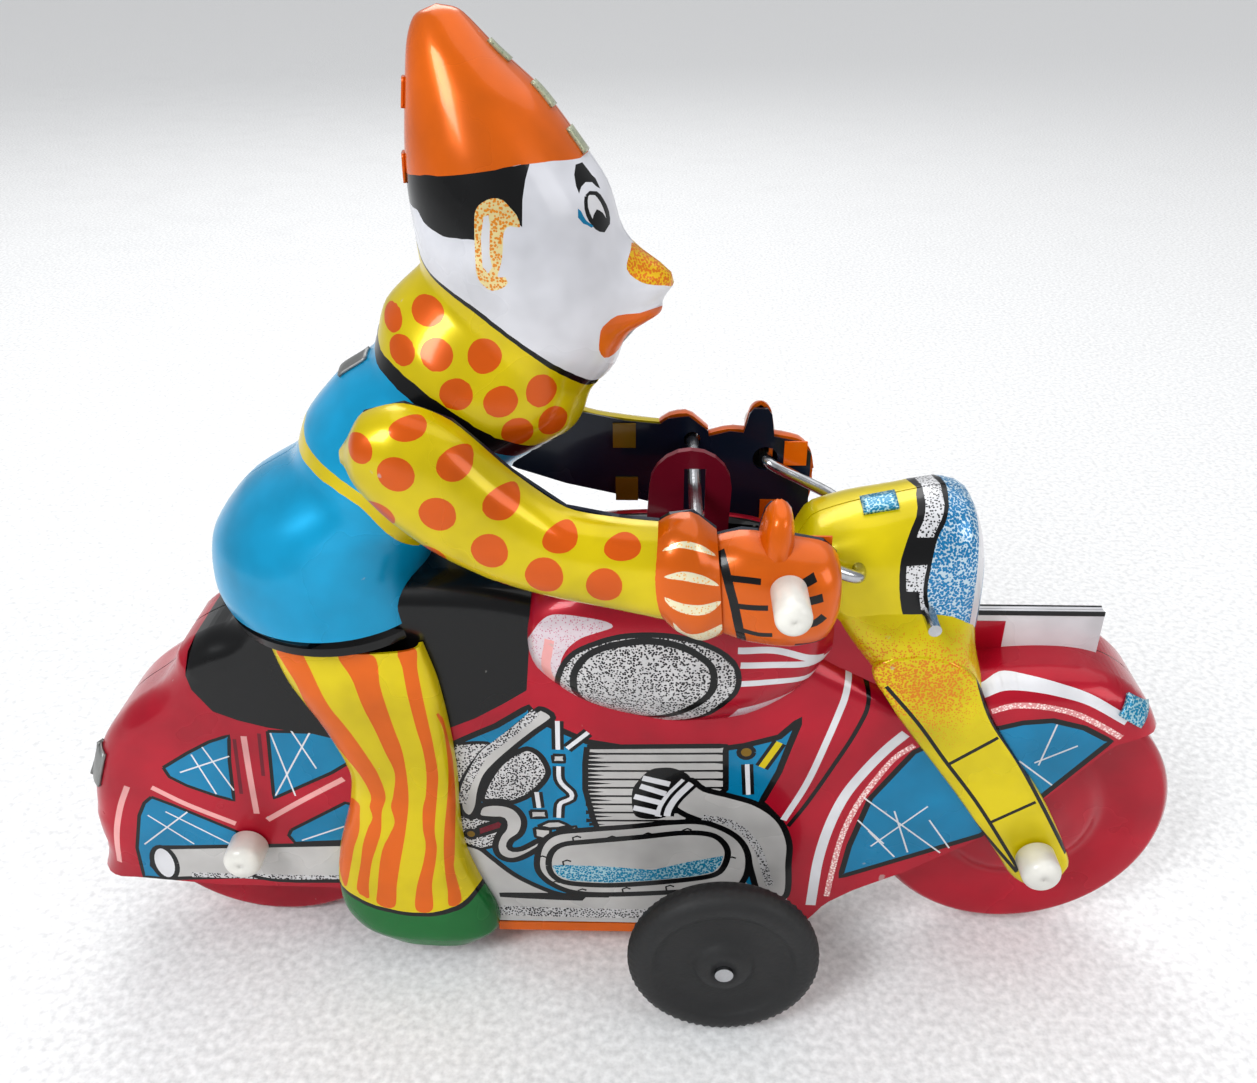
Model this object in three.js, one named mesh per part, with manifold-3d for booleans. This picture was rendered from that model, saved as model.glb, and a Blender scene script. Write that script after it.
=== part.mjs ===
// A tin wind-up motorcycle with a clown rider, made of stamped and folded sheet halves.
// Millimetres. +X is forwards, +Z is up and -Y is the rider's right. It stands on z = 0.
import * as THREE from "three";
import { ParametricGeometry } from "three/addons/geometries/ParametricGeometry.js";
import { mergeVertices } from "three/addons/utils/BufferGeometryUtils.js";
import Module from "manifold-3d";

const wasm = await Module();
wasm.setup();

// ---- Driving dimensions ----

const tin = 0.6; // sheet thickness
const gap = 0.3; // clearance between pieces that touch
const seamY = -6; // the seam plane: the winding key reaches further out than the handlebar
const wire = 0.8; // radius of the bent and straight wires
const wireHole = wire + gap;

const bodyHalf = 9; // half width of the motorcycle's body
const forkHalf = 10; // half width over the fork blades
const legHalf = 13;
const armInner = 12.8; // inner face of an arm's flat back plate
const armOuter = 19.5; // crown of an arm's formed shell
const hipHalf = 14.2;

// Axes across the toy, as [x, z].
const rearHub = [-52.5, 20.6];
const frontHub = [54.3, 21.7];
const driveHub = [12.4, 12.6];
const hip = [-37, 60.5];
const shoulder = [-24.5, 82.5];
const wrist = [7.7, 72];
const grip = [17.4, 69.3];
const forkHole = [27, 64.8];
const forkPin = [35.8, 59.3];
const leverPivot = [6.5, 40];

// ---- Solids ----

function solid(geometry) {
  const bare = new THREE.BufferGeometry();
  bare.setAttribute("position", geometry.getAttribute("position"));
  if (geometry.index) bare.setIndex(geometry.index);
  const merged = mergeVertices(bare, 1e-4);
  const vertProperties = merged.attributes.position.array;
  const triVerts = new Uint32Array(merged.index.array);
  const made = new wasm.Manifold(new wasm.Mesh({ numProp: 3, vertProperties, triVerts }));
  if (made.volume() > 0) return made;
  // A form that was swept the other way round faces inwards, so its triangles are reversed.
  triVerts.reverse();
  return new wasm.Manifold(new wasm.Mesh({ numProp: 3, vertProperties, triVerts }));
}

function geometryOf(manifold) {
  const mesh = manifold.getMesh();
  const geometry = new THREE.BufferGeometry();
  geometry.setAttribute("position", new THREE.BufferAttribute(mesh.vertProperties, 3));
  geometry.setIndex(new THREE.BufferAttribute(mesh.triVerts, 1));
  geometry.computeVertexNormals();
  return geometry;
}

const join = (solids) => solids.reduce((all, one) => all.add(one));
const cut = (from, tools) => tools.reduce((rest, tool) => rest.subtract(tool), from);

function block([x0, x1], [y0, y1], [z0, z1]) {
  const box = new THREE.BoxGeometry(x1 - x0, y1 - y0, z1 - z0);
  return solid(box.translate((x0 + x1) / 2, (y0 + y1) / 2, (z0 + z1) / 2));
}

// A rod along Y at [x, z].
function rod([x, z], radius, [y0, y1], sides = 16) {
  const cylinder = new THREE.CylinderGeometry(radius, radius, y1 - y0, sides);
  return solid(cylinder.translate(x, (y0 + y1) / 2, z));
}

// A piece turned about the axis along Y at [x, z]. The profile is [radius, y] points.
function turned([x, z], profile, sides) {
  const points = profile.map(([radius, y]) => new THREE.Vector2(radius, y));
  return solid(new THREE.LatheGeometry(points, sides).translate(x, 0, z));
}

// The closed smooth curve through side-view points [x, z].
function smooth(points, stepsPerSpan = 2) {
  const knots = points.map(([x, z]) => new THREE.Vector3(x, z, 0));
  const curve = new THREE.CatmullRomCurve3(knots, true, "centripetal");
  const samples = curve.getPoints(points.length * stepsPerSpan);
  return samples.slice(0, -1).map((p) => new THREE.Vector2(p.x, p.y));
}

const straight = (points) => points.map(([x, z]) => new THREE.Vector2(x, z));

// A flat plate with a side-view outline, from y0 to y1.
function plate(outline, [y0, y1], holes = []) {
  const shape = new THREE.Shape(outline);
  for (const [[x, z], radius] of holes) {
    shape.holes.push(new THREE.Path().absarc(x, z, radius, 0, 2 * Math.PI, true));
  }
  const sheet = new THREE.ExtrudeGeometry(shape, {
    depth: y1 - y0,
    bevelEnabled: false,
    curveSegments: 8,
  });
  return solid(sheet.rotateX(Math.PI / 2).translate(0, y1, 0));
}

// A form that bulges to both sides of the plane y = middle. Its edges are rounded over the
// distance side in the outline's plane and depth across it. It is returned as a function of how
// far the surface is moved inwards, so that the sheet's inner face comes from the same form.
function bulge(outline, { middle = 0, half, side, depth, steps = 2 }) {
  return (inset) => {
    const flat = half - depth;
    const form = new THREE.ExtrudeGeometry(new THREE.Shape(outline), {
      depth: 2 * flat,
      bevelThickness: depth - inset,
      bevelSize: side,
      bevelOffset: -side - inset,
      bevelSegments: steps,
    });
    form.translate(0, 0, -flat).rotateX(Math.PI / 2);
    return solid(form.translate(0, middle, 0));
  };
}

// A smooth form of rings across it, from one tip to the other end. Each ring is given by two
// opposite side-view points and its half width: [x, z, opposite x, opposite z, half width].
// A fullness under 1 makes the rings squarer than ellipses. The first ring is a closed tip or a
// flat end, and the last one is a flat end, or the open rim of a hollow piece.
function ringed(rings, { middle = 0, fullness = 1, openRim = false, rows = 1, sides = 16 } = {}) {
  const curveThrough = (points) => new THREE.CatmullRomCurve3(points, false, "catmullrom", 0.4);
  const firstSide = curveThrough(rings.map(([x, z]) => new THREE.Vector3(x, 0, z)));
  const otherSide = curveThrough(rings.map(([, , x, z]) => new THREE.Vector3(x, 0, z)));
  const halfWidth = curveThrough(rings.map(([, , , , half]) => new THREE.Vector3(half, 0, 0)));
  const spans = (rings.length - 1) * rows;
  const centre = (along) => firstSide.getPoint(along).lerp(otherSide.getPoint(along), 0.5);
  const squarer = (value) => Math.sign(value) * Math.abs(value) ** fullness;
  return (inset) => {
    // The first and last rows close the ends on their centres.
    const surface = (u, v, target) => {
      const row = Math.round(v * (spans + 2)) - 1;
      const closed = row < 0 || row > spans;
      const along = THREE.MathUtils.clamp(row / spans, 0, 1);
      const from = firstSide.getPoint(along);
      const across = otherSide.getPoint(along).sub(from);
      const reach = across.length() / 2;
      target.copy(centre(along));
      if (row <= 0) target.addScaledVector(centre(0.02).sub(target).normalize(), inset);
      if (row >= spans && inset > 0) {
        if (openRim) target.z -= 1;
        else target.addScaledVector(centre(0.98).sub(target).normalize(), inset);
      }
      target.y = middle;
      if (closed || reach === 0) return;
      const angle = 2 * Math.PI * u;
      const length = Math.max(reach - inset, 0) * squarer(Math.cos(angle));
      target.addScaledVector(across.normalize(), length);
      target.y += Math.max(halfWidth.getPoint(along).x - inset, 0) * squarer(Math.sin(angle));
    };
    return solid(new ParametricGeometry(surface, sides, spans + 2));
  };
}

// The sheet between a form's outer face and the same form moved inwards.
function sheet(forms, thickness = tin) {
  const outer = join(forms.map((form) => form(0)));
  return outer.subtract(join(forms.map((form) => form(thickness))));
}

// The largest body of a solid: a cut through a hollow form can leave crumbs behind.
function largest(piece) {
  const bodies = piece.decompose();
  return bodies.reduce((best, body) => (body.volume() > best.volume() ? body : best));
}

const far = 200;
const beyond = (y) => block([-far, far], [y, far], [-far, far]);

// ---- Scene ----

const toy = new THREE.Group();
toy.position.y = seamY;

const finish = (color, roughness, metalness) =>
  new THREE.MeshStandardMaterial({ color, roughness, metalness });
const red = finish(0xb01226, 0.3, 0.2);
const yellow = finish(0xd8c400, 0.3, 0.2);
const blue = finish(0x0a9de0, 0.28, 0.2);
const orange = finish(0xe0661a, 0.3, 0.2);
const darkTin = finish(0x1a2230, 0.4, 0.3);
const steel = finish(0xb9bcc0, 0.3, 1);
const brass = finish(0xc9a34a, 0.35, 1);
const white = finish(0xf2f0ea, 0.45, 0);
const rubber = finish(0x1c1c1d, 0.6, 0);

const fineness = 0.05; // detail smaller than this is left out of a finished piece

function add(name, piece, material) {
  const mesh = new THREE.Mesh(geometryOf(largest(piece.simplify(fineness))), material);
  mesh.name = name;
  toy.add(mesh);
  return mesh;
}

// A left piece and its mirror image on the right.
function addPair(name, leftPiece, material) {
  add(name + "_left", leftPiece, material);
  add(name + "_right", leftPiece, material).scale.y = -1;
}

// ---- Motorcycle body ----

const skirtBottom = -20; // the forms run on below the edge that is cut afterwards
const bodyOutline = smooth([
  [-72.5, skirtBottom],
  [-74.5, 18],
  [-74.1, 26],
  [-72, 34],
  [-67.5, 40.4],
  [-61.5, 45],
  [-58.9, 48.2],
  [-57.6, 51],
  [-53.8, 53.4],
  [-50, 55],
  [-46.5, 58.6],
  [-42, 62],
  [-30, 62.6],
  [-16, 62],
  [0, 58],
  [16, 56],
  [27, 50],
  [36, 46],
  [44, 48.4],
  [53, 49.3],
  [60, 48.4],
  [65.2, 45.2],
  [68.2, 40.5],
  [69.6, 34],
  [70, skirtBottom],
]);
const tankRings = [
  [-13.4, 54, -13, 58, 7],
  [-11.6, 48.4, -11.4, 62, 10.4],
  [-5.4, 42.8, -5, 65.4, 11.7],
  [5, 39.8, 5, 66.2, 12],
  [14.6, 41, 14.6, 65.4, 11.8],
  [21.4, 45.6, 21, 63, 10.6],
  [25, 51, 25, 58, 7.5],
];
const neckOutline = smooth([
  [18, 50],
  [26, 46],
  [35, 45],
  [39, 50],
  [38.6, 58],
  [34, 62.6],
  [25, 61.6],
  [18, 60],
]);
// Everything above the body's lower edge: tail, running board, chin and the front guard's edge.
const aboveEdge = straight([
  [-far, 14],
  [-70, 13.6],
  [-58, 12.4],
  [-42, 12.2],
  [-33, 10],
  [-26, 6.6],
  [-19, 6.2],
  [22, 6.2],
  [25, 7.2],
  [27.2, 10.6],
  [31, 13.4],
  [38, 17.2],
  [47.3, 23.6],
  [54, 30],
  [61.6, 39.6],
  [65, 41],
  [far, 41],
  [far, far],
  [-far, far],
]);
const numberPlate = block([44.4, 60.4], [-0.75, 0.75], [46, 54.4]);
const leverOpening = block([-1, 18], [-3, 3], [60, 80]);
const springAxis = [-8, 24];

const bodyForms = [
  bulge(bodyOutline, { half: bodyHalf, side: 3, depth: 3.6 }),
  ringed(tankRings, { fullness: 0.8 }),
  bulge(neckOutline, { half: 6.8, side: 2.4, depth: 3 }),
];
const bodySheet = sheet(bodyForms)
  .add(numberPlate)
  .intersect(plate(aboveEdge, [-far, far]))
  .intersect(beyond(gap / 2));
const crossHoles = [rearHub, hip, forkPin].map((axis) => rod(axis, wireHole, [-20, 20], 12));
const driveHole = rod(driveHub, 1.8, [-20, 20], 12);
const keyHole = rod(springAxis, 2.2, [0, 20], 12);
const bodyHalfSheet = cut(bodySheet, [leverOpening, driveHole, ...crossHoles]);
add("body_left", bodyHalfSheet.subtract(keyHole), red);
add("body_right", bodyHalfSheet, red).scale.y = -1;

const baseOutline = straight([
  [-19, 4.2],
  [24, 4.2],
  [24, 5.8],
  [-19, 5.8],
]);
add("base_plate", plate(baseOutline, [-bodyHalf, bodyHalf]), orange);

// ---- Road wheels on wire axles with plastic end caps ----

// One side of a dished disc wheel, from the bore outwards, as [radius, half width].
const discSide = [
  [wireHole, 4.2],
  [3.4, 4.2],
  [9.6, 2.8],
  [12, 1.7],
  [16.6, 2.6],
  [19.6, 2.6],
  [20.6, 1.4],
];
function discWheel(hub, radius) {
  const scale = radius / discSide.at(-1)[0];
  const near = discSide.map(([r, y]) => [r === wireHole ? r : r * scale, -y]);
  const opposite = near.map(([r, y]) => [r, -y]).reverse();
  return turned(hub, [...near, ...opposite, near[0]], 28);
}

// A closed cap pushed on to a wire's end. Its mouth is at y0 and its round end at y1.
function endCap(axis, [y0, y1], radius) {
  const bore = y1 - 1.2;
  const corner = 1.2;
  return turned(
    axis,
    [
      [0, bore],
      [wireHole, bore],
      [wireHole, y0],
      [radius, y0],
      [radius, y1 - corner],
      [radius - corner / 3, y1 - corner / 3],
      [radius - corner, y1],
      [0, y1],
    ],
    10,
  );
}

const capRadius = 2.6;
const capLength = 4.6;
const endInCap = 1.5; // from the wire's end to the cap's end
for (const [name, hub, seat] of [
  ["rear", rearHub, bodyHalf + gap],
  ["front", frontHub, forkHalf + gap],
]) {
  const capEnd = seat + capLength;
  add(name + "_wheel", discWheel(hub, name === "rear" ? rearHub[1] : 20.7), red);
  add(name + "_axle", rod(hub, wire, [endInCap - capEnd, capEnd - endInCap]), steel);
  addPair(name + "_axle_cap", endCap(hub, [seat, capEnd], capRadius), white);
}

// ---- Drive wheels ----

const driveRadius = driveHub[1];
const driveAxleRadius = 1.2;
const driveBore = driveAxleRadius + gap;
const tyreInner = 18;
const tyreOuter = 22.6;
const driveWheel = turned(
  driveHub,
  [
    [driveBore, tyreInner - 1],
    [3, tyreInner - 1],
    [3.4, tyreInner],
    [11.6, tyreInner],
    [driveRadius, tyreInner + 1.2],
    [driveRadius, tyreOuter - 1.2],
    [11.6, tyreOuter],
    [9.4, tyreOuter],
    [8.2, tyreOuter - 1.2],
    [4.2, tyreOuter - 1.2],
    [3.2, tyreOuter + 0.3],
    [driveBore, tyreOuter + 0.3],
    [driveBore, tyreInner - 1],
  ],
  24,
);
addPair("drive_wheel", driveWheel, rubber);
add("drive_axle", rod(driveHub, driveAxleRadius, [-tyreOuter - 0.8, tyreOuter + 0.8]), steel);

// ---- Fork with the headlamp ----

const headRings = [
  [20.4, 61, 20.8, 65.4, 5],
  [22.6, 57.6, 22.4, 68, 7],
  [27, 52.6, 27, 69.8, 8],
  [32, 48, 32, 71, 8.2],
  [37, 46, 37.4, 72.2, 8.2],
  [40.6, 46.4, 40.8, 71.2, 7.6],
  [42.8, 50, 42.6, 67, 5.6],
];
const shoulderRings = [
  [23, 58.4, 42.4, 60.4, 8],
  [25.4, 55.4, 43, 56, 9.3],
  [28.4, 51.6, 43.4, 52.6, forkHalf],
  [31.4, 47.8, 44.4, 49, forkHalf],
  [35, 43, 46.2, 44, forkHalf],
];
const forkBlade = smooth([
  [30, 52],
  [32.4, 46.2],
  [42.4, 32],
  [49, 22.1],
  [52.6, 16.8],
  [56.6, 15.2],
  [59.4, 18.6],
  [58.4, 22.6],
  [53.8, 31.5],
  [49.3, 38.1],
  [45.6, 44],
  [42, 51],
  [36, 54],
]);
const forkForms = [
  ringed(headRings, { fullness: 0.75 }),
  ringed(shoulderRings, { fullness: 0.6 }),
];
// The head is closed all round, and the shoulder's underside is open over the front guard.
const guardSpace = block([20, 60], [-forkHalf + tin, forkHalf - tin], [30, 50]);
const forkSheet = sheet(forkForms)
  .subtract(guardSpace)
  .add(plate(forkBlade, [forkHalf - tin, forkHalf]))
  .intersect(beyond(gap / 2));
const gripWireHole = rod(forkHole, wireHole + 0.2, [0, 20], 12);
const pinHoles = [forkPin, frontHub].map((axis) => rod(axis, wireHole, [0, 20], 12));
const backOpening = block([10, 31], [-7.2, 7.2], [40, 64]);
addPair("fork", cut(forkSheet, [gripWireHole, backOpening, ...pinHoles]), yellow);
add("fork_pin", rod(forkPin, wire, [-12.6, 12.6]), steel);

// ---- Handlebar wire with its grips ----

const gripSeat = armOuter + gap;
const gripEnd = 26.5;
const leftHalfOfBar = [
  [...forkHole, 0],
  [...forkHole, 9.6],
  [forkHole[0] - 1.4, forkHole[1] + 0.7, 10.5],
  [grip[0] + 1.2, grip[1] - 0.5, 11.4],
  [...grip, 12.2],
  [...grip, gripEnd - endInCap],
];
const barPoints = [
  ...leftHalfOfBar.toReversed(),
  ...leftHalfOfBar.slice(1).map(([x, z, y]) => [x, z, -y]),
];
const barCurve = new THREE.CurvePath();
for (let i = 1; i < barPoints.length; i++) {
  const [from, to] = [barPoints[i - 1], barPoints[i]];
  barCurve.add(
    new THREE.LineCurve3(
      new THREE.Vector3(from[0], from[2], from[1]),
      new THREE.Vector3(to[0], to[2], to[1]),
    ),
  );
}
const wireSection = new THREE.Shape().absarc(0, 0, wire, 0, 2 * Math.PI);
const bar = new THREE.ExtrudeGeometry(wireSection, {
  extrudePath: barCurve,
  steps: 24,
  curveSegments: 4,
});
add("handlebar", solid(bar), steel);
addPair("handlebar_grip", endCap(grip, [gripSeat, gripEnd], capRadius), white);

// ---- Rider: stamped halves from hat to hips ----

const riderRings = [
  [-19.2, 125, -19.2, 125, 0],
  [-21.4, 124, -16.8, 124.4, 2],
  [-22.4, 121.6, -13.4, 121, 4.4],
  [-23, 117, -9, 117, 6.8],
  [-23.5, 112, -5.2, 112, 8.8],
  [-23.6, 107.6, -2.2, 107.4, 10],
  [-23.3, 103.4, -0.9, 102, 10.6],
  [-23.1, 100.6, 0, 96, 10.4],
  [-23, 99.4, -1.4, 88.4, 9.8],
  [-23.6, 98.6, -4.4, 84.8, 9.6],
  [-27.4, 95, -6.4, 80.4, 11.4],
  [-29.4, 89.6, -13, 76.4, 11.8],
  [-33.4, 86.8, -14.4, 74.6, 12.2],
  [-38, 81.8, -17.4, 72, 12.3],
  [-40.4, 76.8, -20.6, 69.4, 12.4],
  [-47, 72.6, -23.4, 66.6, 13],
  [-51.4, 67, -25, 63.2, 13.9],
  [-52.2, 61, -25, 59.2, hipHalf],
  [-50.6, 56.6, -24.4, 55, hipHalf],
];
const nose = (inset) => {
  const ball = new THREE.SphereGeometry(1, 12, 8);
  ball.scale(4.4 - inset, 2.8 - inset, 3.3 - inset);
  return solid(ball.rotateY(0.6).translate(0.7, 0, 97.6));
};
const seatNotch = block([-33, -20], [-9.8, 9.8], [50, 64.6]);
const shoulderHole = rod(shoulder, wireHole, [0, 20], 12);
const riderForms = [ringed(riderRings, { openRim: true, sides: 16 }), nose];
const riderSheet = cut(sheet(riderForms).intersect(beyond(gap / 2)), [seatNotch, shoulderHole]);
addPair("rider", riderSheet, blue);

// The bracket inside the hips hangs on the hip pin over the seat.
const cheekInner = bodyHalf + 0.5;
const bracketCheek = straight([
  [hip[0] - 4, hip[1] - 2.2],
  [hip[0] + 4, hip[1] - 2.2],
  [hip[0] + 4, 66.8],
  [hip[0] - 4, 66.8],
]);
const cheek = plate(bracketCheek, [cheekInner, cheekInner + tin], [[hip, wireHole]]);
const otherCheek = plate(bracketCheek, [-cheekInner - tin, -cheekInner], [[hip, wireHole]]);
const bracketTop = block([hip[0] - 4, hip[0] + 4], [-11.8, 11.8], [66.2, 66.2 + tin]);
add("hip_bracket", join([bracketTop, cheek, otherCheek]), steel);
add("hip_pin", rod(hip, wire, [-11, 11]), steel);
add("shoulder_rod", rod(shoulder, wire, [-15, 15]), steel);

// ---- Legs, fixed to the body's sides ----

const legReach = legHalf - (bodyHalf + gap);
const legRings = [
  [-44.2, 54.7, -25.4, 54.7, legReach - 0.8],
  [-42.6, 49.4, -24, 49, legReach],
  [-39, 42, -23.1, 41.4, legReach],
  [-36.7, 35, -22.7, 34, legReach],
  [-37.4, 29.4, -22.9, 28, legReach],
  [-39.6, 22, -22.6, 21.4, legReach],
  [-40.7, 15.6, -21, 15.4, legReach],
  [-40.4, 10.4, -19, 10, legReach],
  [-38.4, 7, -18.8, 6.4, legReach],
  [-34.6, 4.8, -21.6, 4.2, legReach - 0.6],
];
const legRoot = bodyHalf + gap;
const legForm = ringed(legRings, { middle: legRoot, fullness: 0.7 });
addPair("leg", sheet([legForm]).intersect(beyond(legRoot)), orange);

// ---- Arms: a formed outer shell and a flat back plate, with the wrist rod between them ----

const armPlateOuter = armInner + 0.5;
const armRoot = armPlateOuter + gap;
const crown = armOuter - armRoot;
const sleeveRings = [
  [-30.4, 81.6, -30, 84, 1.6],
  [-29, 78.4, -28, 86.9, 4],
  [-26, 74.8, -23.6, 88, 5.2],
  [-21.4, 70.8, -18.6, 86, 5.5],
  [-15.6, 67.6, -12.6, 80.2, 5.4],
  [-9, 65.4, -6.8, 75.8, 5.1],
  [-2, 63.8, -1, 74.6, 5],
  [5, 62, 5, 74, 4.8],
];
const cuffRings = [
  [3.6, 63, 2.4, 73.4, 4.8],
  [5.4, 61, 4.6, 75, 5.6],
  [8.4, 59.6, 7.2, 75.3, crown],
  [10.8, 60.4, 9.8, 73.2, 5.2],
];
const fistRings = [
  [9, 61.2, 8.2, 72, 4.4],
  [13.4, 59.6, 12.6, 73.2, 5.4],
  [18, 59.1, 17.8, 72.6, crown],
  [22, 60, 21.8, 71.8, 5.4],
  [23.5, 62.8, 23.4, 70.2, 4],
];
const thumbRings = [
  [13.8, 69, 18.4, 69, 4.4],
  [14.4, 73, 18.4, 73, 3.8],
  [15, 75.6, 18, 75.6, 3],
  [15.6, 76.4, 17.4, 76.4, 1.6],
];
const armForm = (rings) => ringed(rings, { middle: armRoot, fullness: 0.85, sides: 12 });
const armForms = [sleeveRings, cuffRings, fistRings, thumbRings].map(armForm);
const openGripHole = wireHole + 0.6; // the linkage is open here, so the wire has play in the fist
const armHoles = [rod(grip, openGripHole, [0, 30], 12)];
addPair("arm", cut(sheet(armForms).intersect(beyond(armRoot)), armHoles), yellow);

const armSilhouette = armForms.map((form) => form(0)).reduce((all, one) => all.add(one));
const armPlateSpace = block([-far, far], [armRoot + 0.1, armRoot + 0.1 + 0.5], [-far, far]);
const armPlate = cut(armSilhouette.intersect(armPlateSpace), [
  rod(grip, openGripHole, [0, 30], 12),
  rod(wrist, wireHole, [0, 30], 12),
  rod(shoulder, wireHole, [0, 30], 12),
]);
for (const [side, sign] of [
  ["left", 1],
  ["right", -1],
]) {
  const mesh = add("arm_plate_" + side, armPlate, darkTin);
  mesh.scale.y = sign;
  mesh.position.y = sign * (armInner - armRoot - 0.1);
}
add("wrist_rod", rod(wrist, wire, [-14.6, 14.6]), steel);

// ---- Clockwork ----

const toothModule = 0.5;
// A gear's outline with straight-sided teeth, turned by the angle turn.
function gearOutline([x, z], teeth, turn = 0) {
  const pitch = (teeth * toothModule) / 2;
  const pitchAngle = (2 * Math.PI) / teeth;
  const corners = [
    [-0.3, pitch - 0.6],
    [-0.14, pitch + 0.42],
    [0.14, pitch + 0.42],
    [0.3, pitch - 0.6],
  ];
  const outline = [];
  for (let tooth = 0; tooth < teeth; tooth++) {
    for (const [share, radius] of corners) {
      const angle = turn + (tooth + share) * pitchAngle;
      outline.push([x + radius * Math.cos(angle), z + radius * Math.sin(angle)]);
    }
  }
  return straight(outline);
}

const greatTeeth = 48;
const middlePinionTeeth = 10;
const middleTeeth = 36;
const drivePinionTeeth = 12;
const governorTeeth = 9;
const arborRadius = 1.5;
const shaftRadius = 1;

// The middle shaft lies where both of its meshes have their proper centre distance.
function meshPoint([ax, az], reachA, [bx, bz], reachB) {
  const apart = Math.hypot(bx - ax, bz - az);
  const along = (reachA ** 2 - reachB ** 2 + apart ** 2) / (2 * apart);
  const up = Math.sqrt(reachA ** 2 - along ** 2);
  const [ux, uz] = [(bx - ax) / apart, (bz - az) / apart];
  return [ax + along * ux - up * uz, az + along * uz + up * ux];
}
const centreDistance = (teethA, teethB) => ((teethA + teethB) * toothModule) / 2;
const middleShaft = meshPoint(
  springAxis,
  centreDistance(greatTeeth, middlePinionTeeth),
  driveHub,
  centreDistance(middleTeeth, drivePinionTeeth),
);
const governorDirection = Math.PI / 3;
const governorReach = centreDistance(middleTeeth, governorTeeth);
const governorShaft = [
  middleShaft[0] + governorReach * Math.cos(governorDirection),
  middleShaft[1] + governorReach * Math.sin(governorDirection),
];
const direction = ([ax, az], [bx, bz]) => Math.atan2(bz - az, bx - ax);
// The turn that puts a gap of the second gear at the first gear's tooth on the line of centres.
const facingGap = (fromOther, teeth) => fromOther + Math.PI + Math.PI / teeth;

const frameInner = 6.4;
const frameOutline = straight([
  [-22, 8],
  [19, 8],
  [19, 30],
  [12, 43],
  [-3, 43],
  [-22, 37],
]);
const bearing = (axis, radius) => [axis, radius + gap];
const motorPlate = plate(
  frameOutline,
  [frameInner, frameInner + tin],
  [
    bearing(springAxis, arborRadius),
    bearing(middleShaft, shaftRadius),
    bearing(driveHub, driveAxleRadius),
    bearing(governorShaft, 0.7),
    bearing(leverPivot, 0.9),
  ],
);
addPair("motor_plate", motorPlate, steel);
const pillars = [
  [-20, 10],
  [-20, 34.5],
  [17, 29],
  [-1.5, 40.6],
];
const betweenPlates = [gap - frameInner, frameInner - gap];
pillars.forEach((place, i) => {
  add("motor_pillar_" + (i + 1), rod(place, 1.1, betweenPlates, 12), brass);
});

// The mainspring is a strip wound from its arbor out to its last turn.
const springTurns = 4;
const springInner = 2.4;
const springOuter = 8.4;
const stripHalf = 0.22;
const springSide = [];
const springSteps = springTurns * 12;
for (let i = 0; i <= springSteps; i++) {
  const share = i / springSteps;
  springSide.push([share * springTurns * 2 * Math.PI, THREE.MathUtils.lerp(springInner, springOuter, share)]);
}
const stripEdge = (offset) =>
  springSide.map(([angle, radius]) => [
    springAxis[0] + (radius + offset) * Math.cos(angle),
    springAxis[1] + (radius + offset) * Math.sin(angle),
  ]);
const stripOutline = [...stripEdge(stripHalf), ...stripEdge(-stripHalf).reverse()];
add("mainspring", plate(straight(stripOutline), [-3, 3]), steel);

add("spring_arbor", rod(springAxis, arborRadius, [-8, 26]), steel);
const greatTurn = direction(springAxis, middleShaft);
const greatWheel = gearOutline(springAxis, greatTeeth, greatTurn);
add("great_wheel", plate(greatWheel, [-5.4, -4.4], [bearing(springAxis, arborRadius)]), brass);

const eccentricThrow = 0.75;
const eccentricCentre = [middleShaft[0] + eccentricThrow, middleShaft[1]];
const middlePinion = gearOutline(middleShaft, middlePinionTeeth, facingGap(greatTurn, middlePinionTeeth));
const middleParts = [
  rod(middleShaft, shaftRadius, [-7.4, 7.4], 12),
  plate(middlePinion, [-6, -3.8]),
  rod(eccentricCentre, 2.1, [-0.9, 0.9], 20),
];
add("middle_shaft", join(middleParts), steel);
const middleTurn = direction(middleShaft, driveHub);
const middleWheel = gearOutline(middleShaft, middleTeeth, middleTurn);
add("middle_wheel", plate(middleWheel, [4, 5], [bearing(middleShaft, shaftRadius)]), brass);

const drivePinion = gearOutline(driveHub, drivePinionTeeth, facingGap(middleTurn, drivePinionTeeth));
add("drive_pinion", plate(drivePinion, [3.6, 5.4], [bearing(driveHub, driveAxleRadius)]), brass);

// The middle wheel's tooth nearest to the governor sets the pinion's turn.
const middlePitch = (2 * Math.PI) / middleTeeth;
const nearestTooth = Math.round((governorDirection - middleTurn) / middlePitch) * middlePitch + middleTurn;
const toothOffset = ((nearestTooth - governorDirection) * middleTeeth) / governorTeeth;
const governorTurn = facingGap(governorDirection, governorTeeth) - toothOffset;
const governorParts = [
  rod(governorShaft, 0.7, [-7.4, 7.4], 12),
  plate(gearOutline(governorShaft, governorTeeth, governorTurn), [3.8, 5.2]),
  rod(governorShaft, 3.2, [-3.6, -2.2], 20),
];
add("governor", join(governorParts), brass);

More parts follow.
